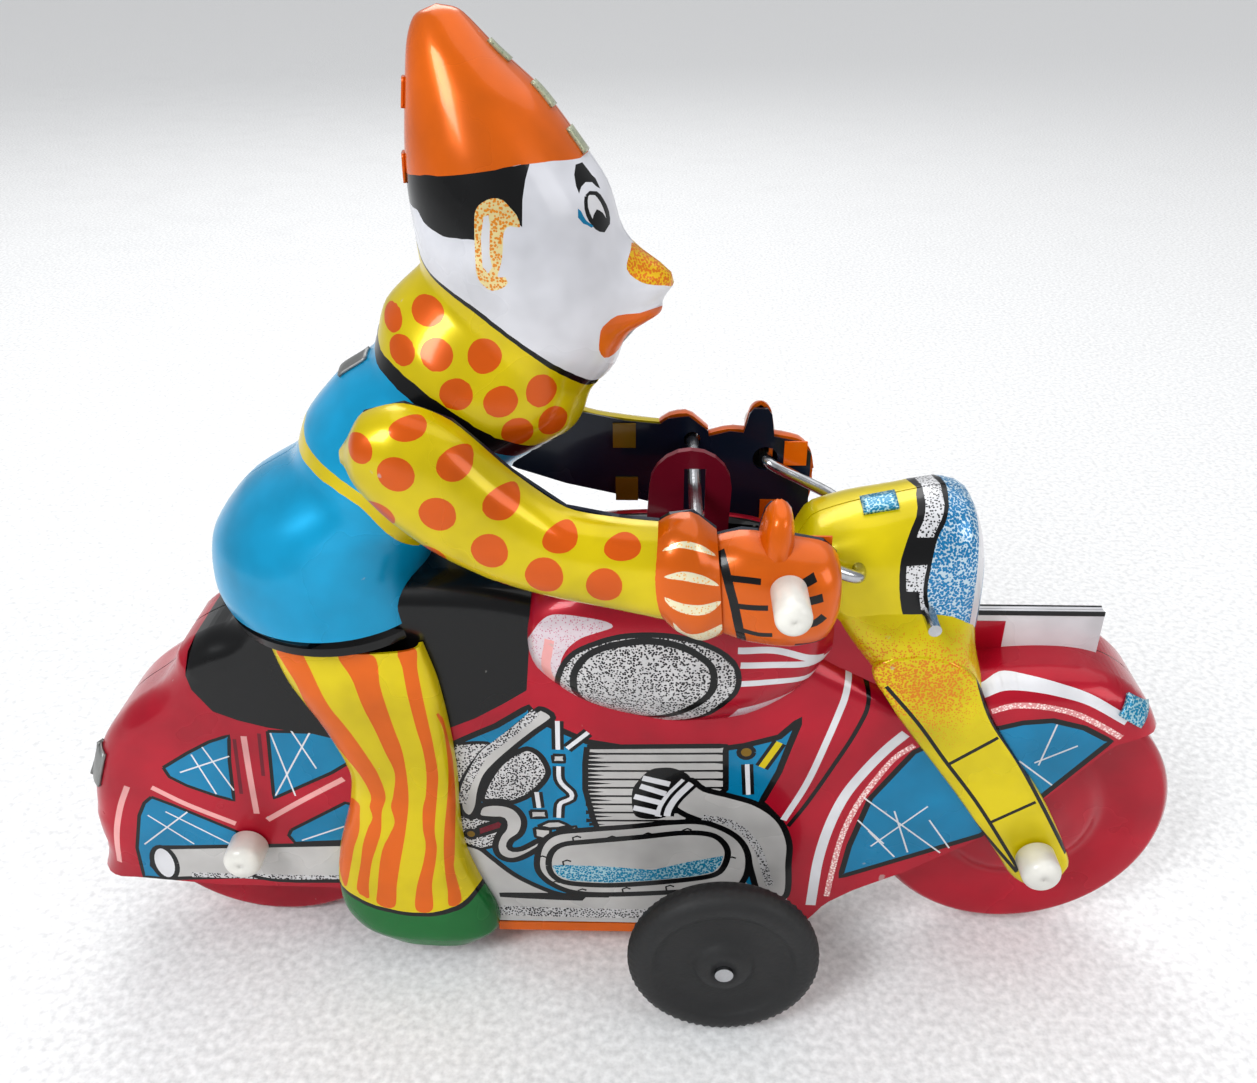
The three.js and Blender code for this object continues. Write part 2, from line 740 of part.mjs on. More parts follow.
// The rocker lever: a flat strip with a slot for the wrist rod and a fork over the eccentric.
const leverHalf = 0.5;
const leverOutline = [
  [1, 19.4],
  [2.8, 19.4],
  [2.8, 27.4],
  [10.2, 27.4],
  [10.2, 19.4],
  [12, 19.4],
  [10.7, 31],
  [11, 44],
  [11.9, 64],
];
const leverHead = [7.2, 71.6];
const leverHeadRadius = 5;
for (let i = 0; i <= 10; i++) {
  const angle = (Math.PI * i) / 10;
  leverOutline.push([
    leverHead[0] + leverHeadRadius * Math.cos(angle),
    leverHead[1] + leverHeadRadius * Math.sin(angle),
  ]);
}
leverOutline.push([1.6, 62], [2, 44], [2, 31]);
const slotHalf = wire + 0.5;
const leverSlot = block([wrist[0] - slotHalf, wrist[0] + slotHalf], [-2, 2], [64, 74.2]);
const lever = plate(straight(leverOutline), [-leverHalf, leverHalf], [[leverPivot, 0.9 + gap]]);
add("rocker_lever", lever.subtract(leverSlot), red);
add("lever_pivot_pin", rod(leverPivot, 0.9, [-7.3, 7.3], 12), steel);

// ---- Winding key on the left ----

const keyEnd = 38.5;
const wing = new THREE.Shape();
wing.moveTo(-2, 26.5);
wing.lineTo(2, 26.5);
wing.bezierCurveTo(4, 27, 8, 26, 10.5, 28);
wing.bezierCurveTo(13.5, 31, 12, 36.5, 8, keyEnd);
wing.bezierCurveTo(4, keyEnd, 3, 34, 0, 34);
wing.bezierCurveTo(-3, 34, -4, keyEnd, -8, keyEnd);
wing.bezierCurveTo(-12, 36.5, -13.5, 31, -10.5, 28);
wing.bezierCurveTo(-8, 26, -4, 27, -2, 26.5);
const wings = new THREE.ExtrudeGeometry(wing, { depth: 1.2, bevelEnabled: false, curveSegments: 6 });
const keyWings = solid(wings.translate(springAxis[0], 0, springAxis[1] - 0.6));
const keyBore = arborRadius + gap;
const keyTube = rod(springAxis, 3, [11, 30], 16).subtract(rod(springAxis, keyBore, [10, 26.4], 16));
add("winding_key", keyTube.add(keyWings.intersect(beyond(27))), steel);

export default toy;
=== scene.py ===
"""The looks of the tin wind-up motorcycle: printed tin, wheels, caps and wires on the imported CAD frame.

Shapes are in millimetres from the seam plane, with +X forwards and +Z up.
They become metres in the part's frame.
The printed art is drawn as outlines in the side view, cut into each shell's surface, and given one ink each.
"""

import math

import bpy
import numpy as np
from mathutils import Matrix, Vector
from mathutils.geometry import delaunay_2d_cdt


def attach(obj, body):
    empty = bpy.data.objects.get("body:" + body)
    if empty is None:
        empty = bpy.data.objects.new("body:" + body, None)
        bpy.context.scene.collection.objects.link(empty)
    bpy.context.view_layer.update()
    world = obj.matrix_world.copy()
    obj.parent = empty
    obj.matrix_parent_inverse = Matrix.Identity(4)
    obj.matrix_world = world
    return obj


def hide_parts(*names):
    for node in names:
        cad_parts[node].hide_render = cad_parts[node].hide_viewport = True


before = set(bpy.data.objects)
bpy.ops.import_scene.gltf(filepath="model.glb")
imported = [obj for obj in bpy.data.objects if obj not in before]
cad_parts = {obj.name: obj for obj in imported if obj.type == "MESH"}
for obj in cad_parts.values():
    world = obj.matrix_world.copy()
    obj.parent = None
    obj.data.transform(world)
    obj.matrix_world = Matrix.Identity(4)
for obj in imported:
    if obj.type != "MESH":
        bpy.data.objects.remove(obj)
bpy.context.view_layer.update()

MM = 0.001
SEAM_Y = -6.0  # the seam plane in the part's frame
TIN = 0.5
HALF_GAP = 0.12  # from the seam plane to each half's edge


# ---- The printed art: outlines and lines in the side view, (x, z), and dots as (x, z, radius, radius) ----

LEG_STRIPES = [
    [
        (-37.2, 30.3), (-38.9, 24), (-39.3, 22.3), (-40, 19), (-39.9, 16.7), (-39.2, 15.4),
        (-37.8, 20.3), (-37, 23.3), (-36, 26.1), (-35.6, 28.9), (-35.5, 30.9),
    ],
    [
        (-42.9, 54.7), (-42.3, 52.9), (-40.9, 50), (-40.2, 46.1), (-38.9, 42.2), (-37.1, 39.7),
        (-34.8, 36.2), (-33.6, 32.8), (-34, 30.8), (-33.8, 29), (-34.7, 26.9), (-35.7, 24),
        (-36.4, 20.7), (-37.6, 15.5), (-36.8, 14.4), (-36, 14.1), (-35.7, 16.8), (-34.8, 21),
        (-33.8, 23.9), (-32.9, 26.7), (-32.4, 30.2), (-31.6, 32.9), (-32.2, 36.7), (-33.6, 40.3),
        (-35.2, 43.8), (-37, 47.2), (-38.1, 50.5), (-39.1, 53.5), (-39.9, 54.7),
    ],
    [
        (-35.1, 54.7), (-33.7, 51.3), (-32.8, 47.4), (-31.8, 44), (-30.9, 40.4), (-30, 36.8),
        (-30.6, 33), (-31.1, 31.1), (-30.9, 28.4), (-31.9, 26), (-32.9, 23.9), (-33.7, 21), (-34.6, 16),
        (-34.9, 13.2), (-32.6, 12.7), (-31.8, 17), (-30.9, 21.2), (-29.6, 26.9), (-28.6, 33),
        (-28.6, 39.7), (-29.3, 43.9), (-29.9, 47.4), (-30.4, 50.6), (-30.9, 54.5),
    ],
    [
        (-28, 54.7), (-27.6, 52.8), (-27.2, 48.8), (-26.6, 43.7), (-26.1, 40.2), (-26, 36.6),
        (-26.4, 33), (-27, 30.7), (-27.3, 27.2), (-27.2, 24.4), (-27.8, 21.2), (-29.2, 16.2),
        (-29.6, 12.2), (-27.4, 12.2), (-27, 17), (-26.2, 21), (-25.8, 23.8), (-25.8, 27), (-24.9, 33.4),
        (-24.6, 36.3), (-24.8, 40.6), (-25.1, 44.1), (-25.6, 49.4), (-25.9, 52.3), (-26, 54.7),
    ],
    [
        (-24.2, 45.2), (-23.6, 42.5), (-23.4, 38.3), (-23.5, 34.8), (-23.9, 31.4), (-24.6, 26.7),
        (-25, 22.8), (-25.1, 18.8), (-25, 15.6), (-25, 12.9), (-23.3, 13.6), (-23.9, 19.3),
        (-23.7, 21.7), (-23, 31), (-22.9, 36), (-23.1, 39.6), (-23.6, 44.2),
    ],
]
CUFF_BANDS = [
    [(3.8, 72.7), (4.8, 73.5), (6.4, 73.9), (8, 73.4), (9.6, 72), (7.6, 73), (5.6, 73.3)],
    [(4, 70.1), (6, 71), (8.2, 70.5), (10, 69), (8.1, 69.6), (6, 70)],
    [(4.1, 67.6), (6.1, 67.1), (8.3, 67), (10.3, 67.1), (9, 65.8), (6.5, 65.7), (4.7, 66.5)],
    [(5.1, 64), (6.6, 62.3), (8.9, 63.1), (10.7, 63.8), (10, 61.6), (7.9, 60.7), (5.9, 61.3)],
]
FINGER_LINES = [
    [(11.1, 69.7), (12.9, 69.7), (14.5, 69.6)],
    [(11.8, 66.5), (13.8, 66.5), (15.4, 66.6)],
    [(12.4, 63.2), (14.5, 62.7), (16.1, 62.8)],
]
KNUCKLE_LINES = [
    [(16.5, 68.8), (18.3, 69.1), (20.4, 70)],
    [(18.2, 67.5), (19.8, 67.5), (21.3, 67.8)],
    [(19.2, 64.3), (20.7, 64.7), (21.6, 65.5)],
    [(18.8, 60.7), (20.8, 60.7), (22.4, 61.4)],
]
WINDOWS = [
    [
        (-62, 33.8), (-58.2, 36.4), (-55, 38.3), (-52.2, 39.4), (-52.9, 35), (-53.5, 28.2), (-55.8, 29),
        (-59.4, 30.7), (-61.5, 32.2),
    ],
    [(-47, 40.2), (-41.1, 40.1), (-37, 38.9), (-35.5, 36.2), (-39.6, 33.3), (-48, 28.7)],
    [
        (-64.7, 28.6), (-62, 27.2), (-54, 22.5), (-54.9, 19.7), (-65.4, 19.5), (-66.7, 18.4),
        (-67.4, 15.8), (-66.1, 13.4), (-68.9, 13.7), (-68.7, 19.2), (-67.1, 25.2), (-65.9, 27.5),
    ],
    [(-46.5, 23), (-38.4, 28.1), (-35.6, 27.2), (-36.3, 21.3), (-46.3, 20.6), (-47, 22)],
]
FINE_SPOKES = [
    [(-57.8, 36.1), (-55.7, 29.3)],
    [(-59.9, 33), (-52.8, 35.9)],
    [(-56.1, 37.4), (-53.2, 30)],
    [(-46.7, 39.9), (-45, 29.2)],
    [(-41.5, 40.1), (-47.7, 29.2)],
    [(-43.9, 40.3), (-41.5, 34)],
    [(-65.9, 25.3), (-60.5, 20.1)],
    [(-63.3, 26), (-55.4, 20.2)],
    [(-67.5, 19.9), (-60.3, 26)],
    [(-45.3, 21.1), (-38.9, 23.9)],
]
FRONT_FINE_SPOKES = [
    [(30.9, 30.3), (42.1, 20.7)],
    [(35.1, 28.1), (37.7, 20.7)],
    [(32, 24.5), (36, 19.8)],
    [(32.6, 21.7), (39.4, 29)],
    [(30.4, 26.4), (34.3, 22.2)],
    [(39.9, 26.6), (43.2, 21.6)],
    [(53.9, 43), (52.7, 36.3)],
    [(52.1, 36.7), (57.1, 39.6)],
    [(50.1, 37), (55, 33)],
]
SPOKES = [
    [(-50.3, 39.3), (-50.6, 32.6), (-50.8, 25.9)],
    [(-64.3, 30.3), (-60, 27.3), (-54, 24)],
    [(-49.5, 24.8), (-44.2, 28.4), (-38.1, 32.3)],
    [(-67.6, 30.4), (-69.2, 27.1), (-70.6, 23.2), (-71.4, 19.8), (-71.9, 16.3)],
]
SPOKE_SHADES = [
    [(-51.6, 38.8), (-52.3, 29.4)],
    [(-48.2, 39.8), (-48.8, 32.6)],
]
RODS = [
    [(-9.3, 42.5), (-9.4, 37.8)],
    [
        (-9.4, 35), (-9.4, 32.8), (-8.8, 31.6), (-7.9, 30.5), (-7.9, 29.5), (-8.9, 28.9), (-9.5, 28.3),
        (-9.7, 26),
    ],
    [(-12.5, 30.5), (-12.3, 27.7)],
    [(-8.2, 38), (-5.4, 40.7)],
    [(15.2, 35.8), (15.6, 30.6)],
]
SMALL_BOXES = [
    [(-10.1, 36.9), (-8.6, 36.9), (-8.6, 35.7), (-10.1, 35.7)],
    [(-13.5, 27.2), (-11.4, 27.2), (-11.3, 26), (-13.4, 25.9)],
    [(-12.6, 24.4), (-11.1, 25.3), (-9.7, 25.4), (-8.2, 24.6), (-9.8, 24.1), (-11, 24)],
    [(-13.1, 24.1), (-10.9, 23.8), (-10.9, 22.3), (-11.4, 21.9), (-13, 22.5)],
    [(-9.9, 23.9), (-7.4, 24.5), (-7.3, 23.6), (-9.8, 23)],
]
TANK_STRIPES = [
    [(13, 55.7), (18, 55.4), (23.7, 52.7)],
    [(13.4, 53.6), (18.1, 53.4), (22.6, 52.7), (25.9, 51.7)],
    [(13.3, 50.8), (18.3, 50.8), (22.8, 50.3), (25.8, 50.4)],
]
BLADE_LINES = [
    [(30.5, 48.9), (31.8, 47), (35.5, 40.8), (40.3, 33.6), (47.2, 25), (52.6, 18.3)],
    [(31.6, 49.3), (36.2, 43.6), (40.3, 37.7), (45.8, 30), (52.8, 18.7)],
    [(40.8, 37), (46.5, 41.5)],
    [(47.5, 27.1), (53, 30.9)],
    [(42.4, 51.9), (43.4, 48.5), (45.5, 43.8), (49.7, 37.5), (53.6, 30.9), (58.7, 21.7)],
]
FLANGES = [
    [(7.1, 32.9), (5.2, 30.4), (4.1, 28.3), (3.7, 26.5)],
    [(8, 32.4), (6.1, 29.9), (5.1, 27.8), (4.9, 26.6)],
]
HEADER_BARS = [
    [(1.3, 31.8), (4.7, 30.5)],
    [(0.5, 30), (4.1, 28.9)],
    [(0.4, 28), (3.4, 27.2)],
    [(1.6, 33.2),
    (5.2, 32.2)],
]
RIM_SHADOWS = [
    [(33.2, 68.4), (35.9, 68.6), (35.3, 65.5), (32.3, 65.2)],
    [(32.6, 62), (34.4, 62), (35.2, 58.4), (33.8, 57.5)],
]
HAT_BRIM = [
    (-23.7, 109.1), (-20.5, 109.9), (-18.3, 110.1), (-16.3, 110.4), (-13.7, 110.8), (-10.6, 111.2),
    (-7.6, 111.2), (-5, 110.9),
]
HAIR = [
    (-9.7, 111.2), (-10.1, 109.9), (-10.4, 108.1), (-10.5, 105.5), (-11.9, 107), (-14, 104.3),
    (-17.4, 104.2), (-18.8, 104.2), (-20.1, 104.6), (-21.1, 105.1), (-21.8, 106.1), (-24.6, 106.1),
    (-24.6, 110), (-22.6, 111),
]
EAR = [
    (-15.3, 105.7), (-15.1, 107.1), (-14.4, 107.9), (-13.4, 108.3), (-12.3, 108.1), (-11.6, 107.4),
    (-11, 106.7), (-10.7, 105.6), (-11.6, 105.7), (-12.3, 105.2), (-12.6, 102.7), (-13, 101.3),
    (-13.2, 100.6), (-12.4, 100.6), (-12.2, 100), (-12.8, 99.4), (-13.9, 99.1), (-14.8, 99.6),
    (-15.4, 100.6), (-15.4, 102.9),
]
EAR_SLOT = [
    (-14.3, 106.5), (-13.8, 106.7), (-13.7, 105.8), (-13.9, 102.9), (-13.7, 101.6), (-14.2, 100.9),
    (-14.7, 101.6), (-14.7, 104.5),
]
BROW = [
    (-5.4, 110.5), (-4.8, 110.5), (-4.2, 109.7), (-3.5, 108.8), (-3, 107.8), (-3.8, 108.6),
    (-4.4, 108.8), (-4.8, 108.5), (-5, 108), (-5.3, 108.7), (-5.5, 109.7),
]
EYE = [
    (-4.3, 107.6), (-4, 107.8), (-3.4, 107.6), (-2.8, 106.7), (-2.3, 105.4), (-2.2, 104.3),
    (-2.6, 103.9), (-3.3, 104.4), (-3.9, 105.4), (-4.3, 106.5),
]
PUPIL = [
    (-3.6, 105.7), (-3.3, 106.1), (-2.7, 105.6), (-2.3, 104.6), (-2.3, 104.1), (-2.8, 103.9),
    (-3.3, 104.4), (-3.7, 105),
]
EYE_CORNER = [
    (-5.1, 106.7), (-4.8, 106.4), (-4.3, 105.4), (-3.6, 104.7), (-3.8, 104.6), (-4.6, 105.2),
    (-5.1, 105.9),
]
MOUTH = [
    (-3.2, 93.1), (-2.9, 94), (-1.7, 94.8), (-0.1, 94.3), (1.6, 94.6), (1.2, 93.8), (0.3, 93.2),
    (-0.3, 92.1), (-0.6, 90.9), (-0.9, 90.3), (-1.8, 89.8), (-2.8, 90), (-3.3, 91.3),
]
LOWER_LIP = [(-0.3, 91.9), (0.3, 93), (1.3, 93.8), (1.6, 92.5), (1.2, 91.1), (-0.3, 90.4)]
COLLAR_TOP = [
    (-22.7, 102.3), (-22.2, 100.8), (-21, 99.5), (-18.7, 98.2), (-15.9, 96.6), (-13.3, 94.6),
    (-10.7, 92.5), (-8.2, 90.3), (-5.6, 88), (-4.4, 86.8),
]
COLLAR_FOOT = [
    (-28.6, 91.5), (-27.5, 90.3), (-25.6, 89.4), (-23.3, 88.1), (-20.5, 86.2), (-17.9, 84.2),
    (-15.4, 82.1), (-13.5, 80.8), (-11.7, 79.6), (-10.1, 79.7),
]
COLLAR_DOTS = [
    (-25.6, 94.6, 1.3, 1.2), (-21.4, 95.9, 1.9, 1.4), (-24.3, 92, 1.6, 1.5), (-20.3, 92, 1.8, 1.6),
    (-15.2, 91.9, 1.8, 1.8), (-18.3, 88.1, 1.8, 1.7), (-13.7, 87, 1.8, 1.7), (-9.5, 87.5, 1.6, 1.9),
    (-12.2, 83.1, 1.7, 1.9), (-8.5, 83.4, 1.5, 1.9),
]
BELT_TOP = [(-38.3, 82.2), (-36.8, 80.3), (-34.4, 79.2), (-31.3, 77.6), (-28.3, 75.5), (-24, 70.4)]
BELT_FOOT = [(-38.1, 78.6), (-35.4, 77.7), (-31.7, 76.1), (-29, 73.8), (-25.2, 66.9)]
SLEEVE_DOTS = [
    (-22.6, 86.5, 1.7, 0.9), (-27.7, 84.5, 1.3, 1.4), (-23.9, 82.2, 1.8, 1.8), (-17.9, 82.9, 1.6, 1.5),
    (-26.6, 76.7, 1.7, 1.7), (-19.9, 77.7, 1.8, 1.9), (-13.3, 78.4, 1.7, 1.5), (-21.5, 71.3, 1.5, 1.6),
    (-14.7, 73.2, 1.8, 2.1), (-7.2, 74.1, 1.7, 1.3), (-14.6, 67, 1.8, 1.3), (-9, 70, 1.9, 2.3),
    (-0.5, 72.9, 1.8, 1.1), (-2.5, 68.8, 1.8, 2.1), (-5.9, 64.5, 1.7, 1), (1, 63.1, 1.9, 0.8),
]
WRIST_LINE = [(10.1, 72), (10.5, 71), (11.1, 68.9), (11.8, 66.3), (13, 60.5)]
SHOE_TOP = [
    (-41.1, 17.7), (-40.5, 15.2), (-39.2, 14.3), (-37.6, 13.5), (-35.7, 12.6), (-33.9, 12.1),
    (-31.5, 11.5), (-29.3, 11.3), (-27.2, 11.4), (-24.7, 12.1), (-23.1, 12.8), (-21.5, 14.2),
]
LAMP_RIM = [
    (35.7, 75.3), (34.4, 70.8), (33.2, 68.5), (32.3, 65.2), (32.8, 60.5), (34.1, 57.2), (36.6, 54.5),
    (39.4, 53.4), (42.2, 53),
]
LAMP_LENS = [
    (38.3, 74.4), (37.1, 70.8), (35.9, 68.6), (35.3, 65.5), (35.2, 61.7), (36.3, 58.3), (37.5, 56.6),
    (39.9, 54.9), (42.4, 53.4),
]
SEAT_FOOT = [
    (-55.1, 54.7), (-56.2, 48.7), (-55.7, 46.7), (-53.6, 43.3), (-50.6, 41.9), (-47, 40.8),
    (-42.9, 40.1), (-36, 39.5), (-29.4, 39.9), (-23.5, 41), (-19.9, 42.7), (-16.1, 45.1), (-13, 47.3),
]
SILENCER = [
    (-65.5, 19.3), (-37.4, 20.6), (-38.2, 13.5), (-47.4, 13.3), (-51.4, 13.7), (-55, 14), (-64.6, 13.4),
    (-65.8, 13.6), (-66.6, 15.8), (-66.4, 18.2),
]
SILENCER_CURVE = [
    (-56.1, 17.6), (-55.4, 16.1), (-53.9, 14.6), (-51.5, 13.6), (-47.4, 13.3), (-38.2, 13.6),
]
LONG_PIPE = [
    (-12, 44.1), (-11.1, 44.4), (-9.8, 43), (-12.2, 40.7), (-14.7, 38.3), (-17.5, 35.3), (-19.1, 33.1),
    (-20, 30.6), (-20.6, 27.6), (-21.5, 26), (-22.5, 26.3), (-23, 28), (-22.3, 31.1), (-20.9, 34.1),
    (-19.2, 37), (-17.2, 38.9), (-14.3, 41.8),
]
LONG_PIPE_SHADE = [
    (-12, 43.9), (-14.3, 41.4), (-17.3, 38.6), (-19.1, 36.8), (-20.7, 33.9), (-21.9, 31.1),
    (-22.6, 28.3),
]
FILTER_BACK = [
    (-23.1, 37.9), (-21.5, 38.6), (-19.7, 38.8), (-18.2, 38.6), (-19.2, 37.5), (-20.9, 35),
    (-22.2, 32.6), (-23.1, 30.6), (-23.7, 30.5),
]
FILTER = [
    (-15.7, 36.6), (-14.7, 37.3), (-13.4, 37.9), (-12.3, 37.4), (-11.4, 36.2), (-10.8, 34.2),
    (-11.2, 32.8), (-12.2, 31.3), (-13.4, 30), (-14.6, 29.2), (-16, 28.6), (-17.5, 28.9), (-19.8, 29),
    (-19, 31.9), (-17.3, 34.9),
]
BENT_PIPE = [
    (-20.6, 26), (-20.2, 27.8), (-18.5, 28.4), (-16.6, 28.2), (-15.3, 27.4), (-14.5, 25.9),
    (-14.5, 24.3), (-15.1, 22.8), (-16.3, 21.7), (-16.7, 20.6), (-16.2, 20), (-15, 20.2), (-13.6, 21.1),
    (-12.6, 21.8), (-11.9, 21.6), (-12.3, 20.7), (-13.9, 19.3), (-15.7, 18.2), (-17.1, 18.1),
    (-18.3, 19), (-18.6, 20.8), (-18, 22.7), (-17.2, 24), (-17.3, 25.5), (-18.7, 25.6),
]
RED_ROD = [(-20.9, 24), (-17.9, 25.4), (-17.2, 24.8), (-17.6, 23.8), (-20.8, 22.4)]
FRAME_SHADE = [
    (-23.7, 30.5), (-23.2, 26.8), (-21.6, 25.5), (-20.6, 26), (-17.3, 25.5), (-17.2, 24), (-18.3, 22.4),
    (-18.8, 20.6), (-20.6, 20), (-22.9, 20.9), (-24.4, 21.2),
]
CYLINDER = [
    (-5.6, 38.3), (12.3, 38.8), (12.6, 31.5), (7.7, 26), (7.7, 24.2), (-4.4, 23.9), (-5, 25.7),
    (-6, 31.1), (-5.9, 35.6),
]
HEADER = [
    (2.6, 34.6), (4, 35), (5.8, 34.9), (7.8, 33.6), (7.3, 31.4), (5.9, 28.7), (4.7, 26.5), (2.7, 26),
    (0.7, 26.5), (0.2, 28.5), (0.3, 31.2), (1.3, 33.1),
]
EXHAUST_PIPE = [
    (7.6, 33), (9.8, 31.4), (13.3, 30.3), (16.9, 28.9), (19.9, 26.2), (21.5, 22.3), (21.7, 18.3),
    (21.7, 12), (18.4, 11.5), (16.6, 16.9), (15.8, 20.6), (13.6, 23.7), (10.6, 25.3), (7, 27.1),
    (5.7, 29),
]
CRANKCASE = [
    (-13, 17.9), (-12.2, 21.2), (-10.1, 23.2), (-5.9, 23.9), (0, 24.6), (5.9, 25.5), (10, 25.5),
    (13.6, 23.7), (15.5, 21.4), (16.2, 18.5), (15.8, 15.2), (14, 13.5), (6.1, 12.4), (-3.1, 11.7),
    (-8, 12), (-11, 13.5), (-12.7, 15.6),
]
CRANKCASE_INNER = [
    (-11.4, 17.1), (-10.9, 19.6), (-9.3, 21.1), (-6, 21.7), (1.2, 22.7), (7.1, 23.6), (10.7, 23.4),
    (12.5, 22.1), (13.3, 20.1), (12.9, 17.6), (11.8, 16), (9.1, 15.1), (3, 14.1), (-3.1, 13.5),
    (-8.6, 13.8), (-10.7, 15),
]
BOLTS = [
    (-7.3, 22.1), (-2.5, 22.2), (2.4, 22.9), (7.7, 23.8), (13.9, 18.7), (5.5, 13.1), (-0.6, 12.5),
    (-6.8, 12.1), (-10.5, 13.5), (-12.2, 18.3), (-8.8, 17.6),
]
YELLOW_BAR = [(17.1, 35.3), (19.2, 39.5)]
FRAME_STRIPE = [(28, 51.7), (26.7, 45.8), (25.2, 39.8), (23.2, 32.8), (20.5, 26.2)]
FRAME_LINE = [(29.1, 49.8), (30, 46.2), (28.7, 41.3), (26.4, 35.8), (23.5, 29.4), (21.2, 25.1)]
ARCH_STRIPE = [
    (35.1, 41.2), (33.1, 38.8), (30.7, 35.2), (28.3, 30.6), (26.7, 25.2), (25.7, 18.8), (25.3, 10.3),
]
ARCH_DOTS = [
    (36.4, 39.3), (34.1, 37.1), (32, 33.3), (30.1, 29.1), (28.6, 23.7), (27.8, 17.2), (27.4, 12.1),
]
GUARD_STRIPE = [(44.2, 47.2), (46.7, 48.1), (49.9, 48.2), (53.7, 47.7), (57.7, 46.5), (62.6, 43.6)]
GUARD_DOTS = [(45.4, 44.9), (48.1, 45.8), (51.9, 45.7), (55.9, 44.7), (59.5, 42.8), (62.3, 41)]
FRONT_WINDOW = [
    (46.8, 42.3), (49.6, 43.2), (53.3, 43.6), (57.4, 42.5), (61.1, 40.4), (53.2, 30), (47, 24),
    (29, 15.9), (29.7, 21.7), (31.7, 30.3), (36.5, 38.2), (41.7, 41.5),
]
FAIRING_TOP = [
    (-26.3, 21.5), (-24.1, 21.2), (-21, 20.3), (-19.1, 18.3), (-15.8, 14.9), (-10.9, 11.9), (-6.9, 10.8),
    (-18.5, 11.3), (-3.1, 11.5), (15.8, 14.8), (18.4, 11.5), (21.9, 12), (21.9, 9.4), (21.1, 6.3),
]
ENGINE_BACK = [
    (-25, 37.3), (-23.2, 38.4), (-20.1, 40.1), (-17.2, 41.6), (-12.9, 44.7), (-11.9, 42.7), (-5.6, 39.2),
    (1.8, 37.8), (8.5, 37.7), (14.7, 38.9), (19.1, 40.4), (21.6, 43.3), (20.3, 38.3), (19.4, 34.6),
    (17.4, 29.3), (19.9, 26.2), (21.4, 21.5), (21.7, 12), (-18.6, 11), (-26.5, 20.1),
]
TANK_OVAL = [
    (13.3, 51.5), (12.7, 53.7), (11.1, 55.4), (8.6, 56.7), (5.6, 57.5), (2.3, 57.7), (-1.1, 57.4),
    (-4.1, 56.4), (-6.6, 54.9), (-8.2, 52.6), (-9, 49.3), (-8.6, 47.1), (-7, 45.2), (-4.5, 43.7),
    (-1.3, 42.7), (2.3, 42.4), (5.9, 42.8), (9, 44.4), (11.4, 47.1), (12.9, 49.3),
]
TANK_OVAL_INNER = [
    (10.3, 51.6), (9.9, 53.4), (8.6, 54.8), (6.7, 56), (4.4, 56.7), (1.8, 56.9), (-0.9, 56.5),
    (-3.2, 55.8), (-5.1, 54.6), (-6.4, 52.7), (-6.9, 50.6), (-6.7, 47.9), (-5.5, 45.8), (-3.5, 44.5),
    (-1, 43.7), (1.7, 43.5), (4.5, 44.5), (6.9, 46), (8.8, 47.8), (10, 49.6),
]
TANK_GLOSS = [
    (-12.4, 55.5), (-12.8, 52.2), (-12.2, 48.5), (-10.4, 45.5), (-7.7, 43.8), (-5.2, 43.3), (-7.3, 46.2),
    (-8.5, 50.6), (-8, 54.4), (-5.8, 57), (-1.9, 58.7), (-5, 59.6), (-9.8, 59.2),
]
TANK_DOTS = [
    (11.8, 42), (13.5, 46.1), (17.5, 47.1), (21.8, 48.3), (25.7, 49.7), (25.4, 48.5), (23.1, 46),
    (18.9, 43.2),
]


# ---- Inks and plain materials ----


def linear(rgb):
    """An sRGB colour, 0 to 255, as the linear colour that a shader takes."""
    shares = [c / 255 for c in rgb]
    return [c / 12.92 if c <= 0.04045 else ((c + 0.055) / 1.055) ** 2.4 for c in shares] + [1.0]


class Nodes:
    """A material's node tree with short ways to add and join nodes."""

    def __init__(self, name):
        self.material = bpy.data.materials.new(name)
        self.material.use_nodes = True
        self.tree = self.material.node_tree
        self.shader = self.tree.nodes["Principled BSDF"]
        self.place = self.add("ShaderNodeTexCoord").outputs["Object"]

    def add(self, kind, inputs=(), **settings):
        node = self.tree.nodes.new(kind)
        for key, value in settings.items():
            setattr(node, key, value)
        for key, value in dict(inputs).items():
            if isinstance(value, bpy.types.NodeSocket):
                self.tree.links.new(value, node.inputs[key])
            else:
                node.inputs[key].default_value = value
        return node

    def noise(self, scale, detail=2.0, vector=None):
        inputs = {"Vector": vector or self.place, "Scale": scale, "Detail": detail}
        return self.add("ShaderNodeTexNoise", inputs).outputs["Fac"]

    def dots(self, scale):
        inputs = {"Vector": self.place, "Scale": scale, "Randomness": 0.9}
        return self.add("ShaderNodeTexVoronoi", inputs).outputs["Distance"]

    def ramp(self, value, low, high, to_low=0.0, to_high=1.0):
        inputs = {"Value": value, "From Min": low, "From Max": high, "To Min": to_low, "To Max": to_high}
        return self.add("ShaderNodeMapRange", inputs).outputs["Result"]

    def mix(self, factor, first, second):
        node = self.add("ShaderNodeMix", data_type="RGBA")
        for index, value in ((0, factor), (6, first), (7, second)):
            if isinstance(value, bpy.types.NodeSocket):
                self.tree.links.new(value, node.inputs[index])
            else:
                node.inputs[index].default_value = value
        return node.outputs[2]

    def math(self, operation, first, second):
        return self.add("ShaderNodeMath", {0: first, 1: second}, operation=operation).outputs[0]

    def set(self, **inputs):
        for key, value in inputs.items():
            name = key.replace("_", " ")
            if isinstance(value, bpy.types.NodeSocket):
                self.tree.links.new(value, self.shader.inputs[name])
            else:
                self.shader.inputs[name].default_value = value

    def bump(self, height, strength, distance):
        inputs = {"Height": height, "Strength": strength, "Distance": distance}
        self.set(Normal=self.add("ShaderNodeBump", inputs).outputs["Normal"])


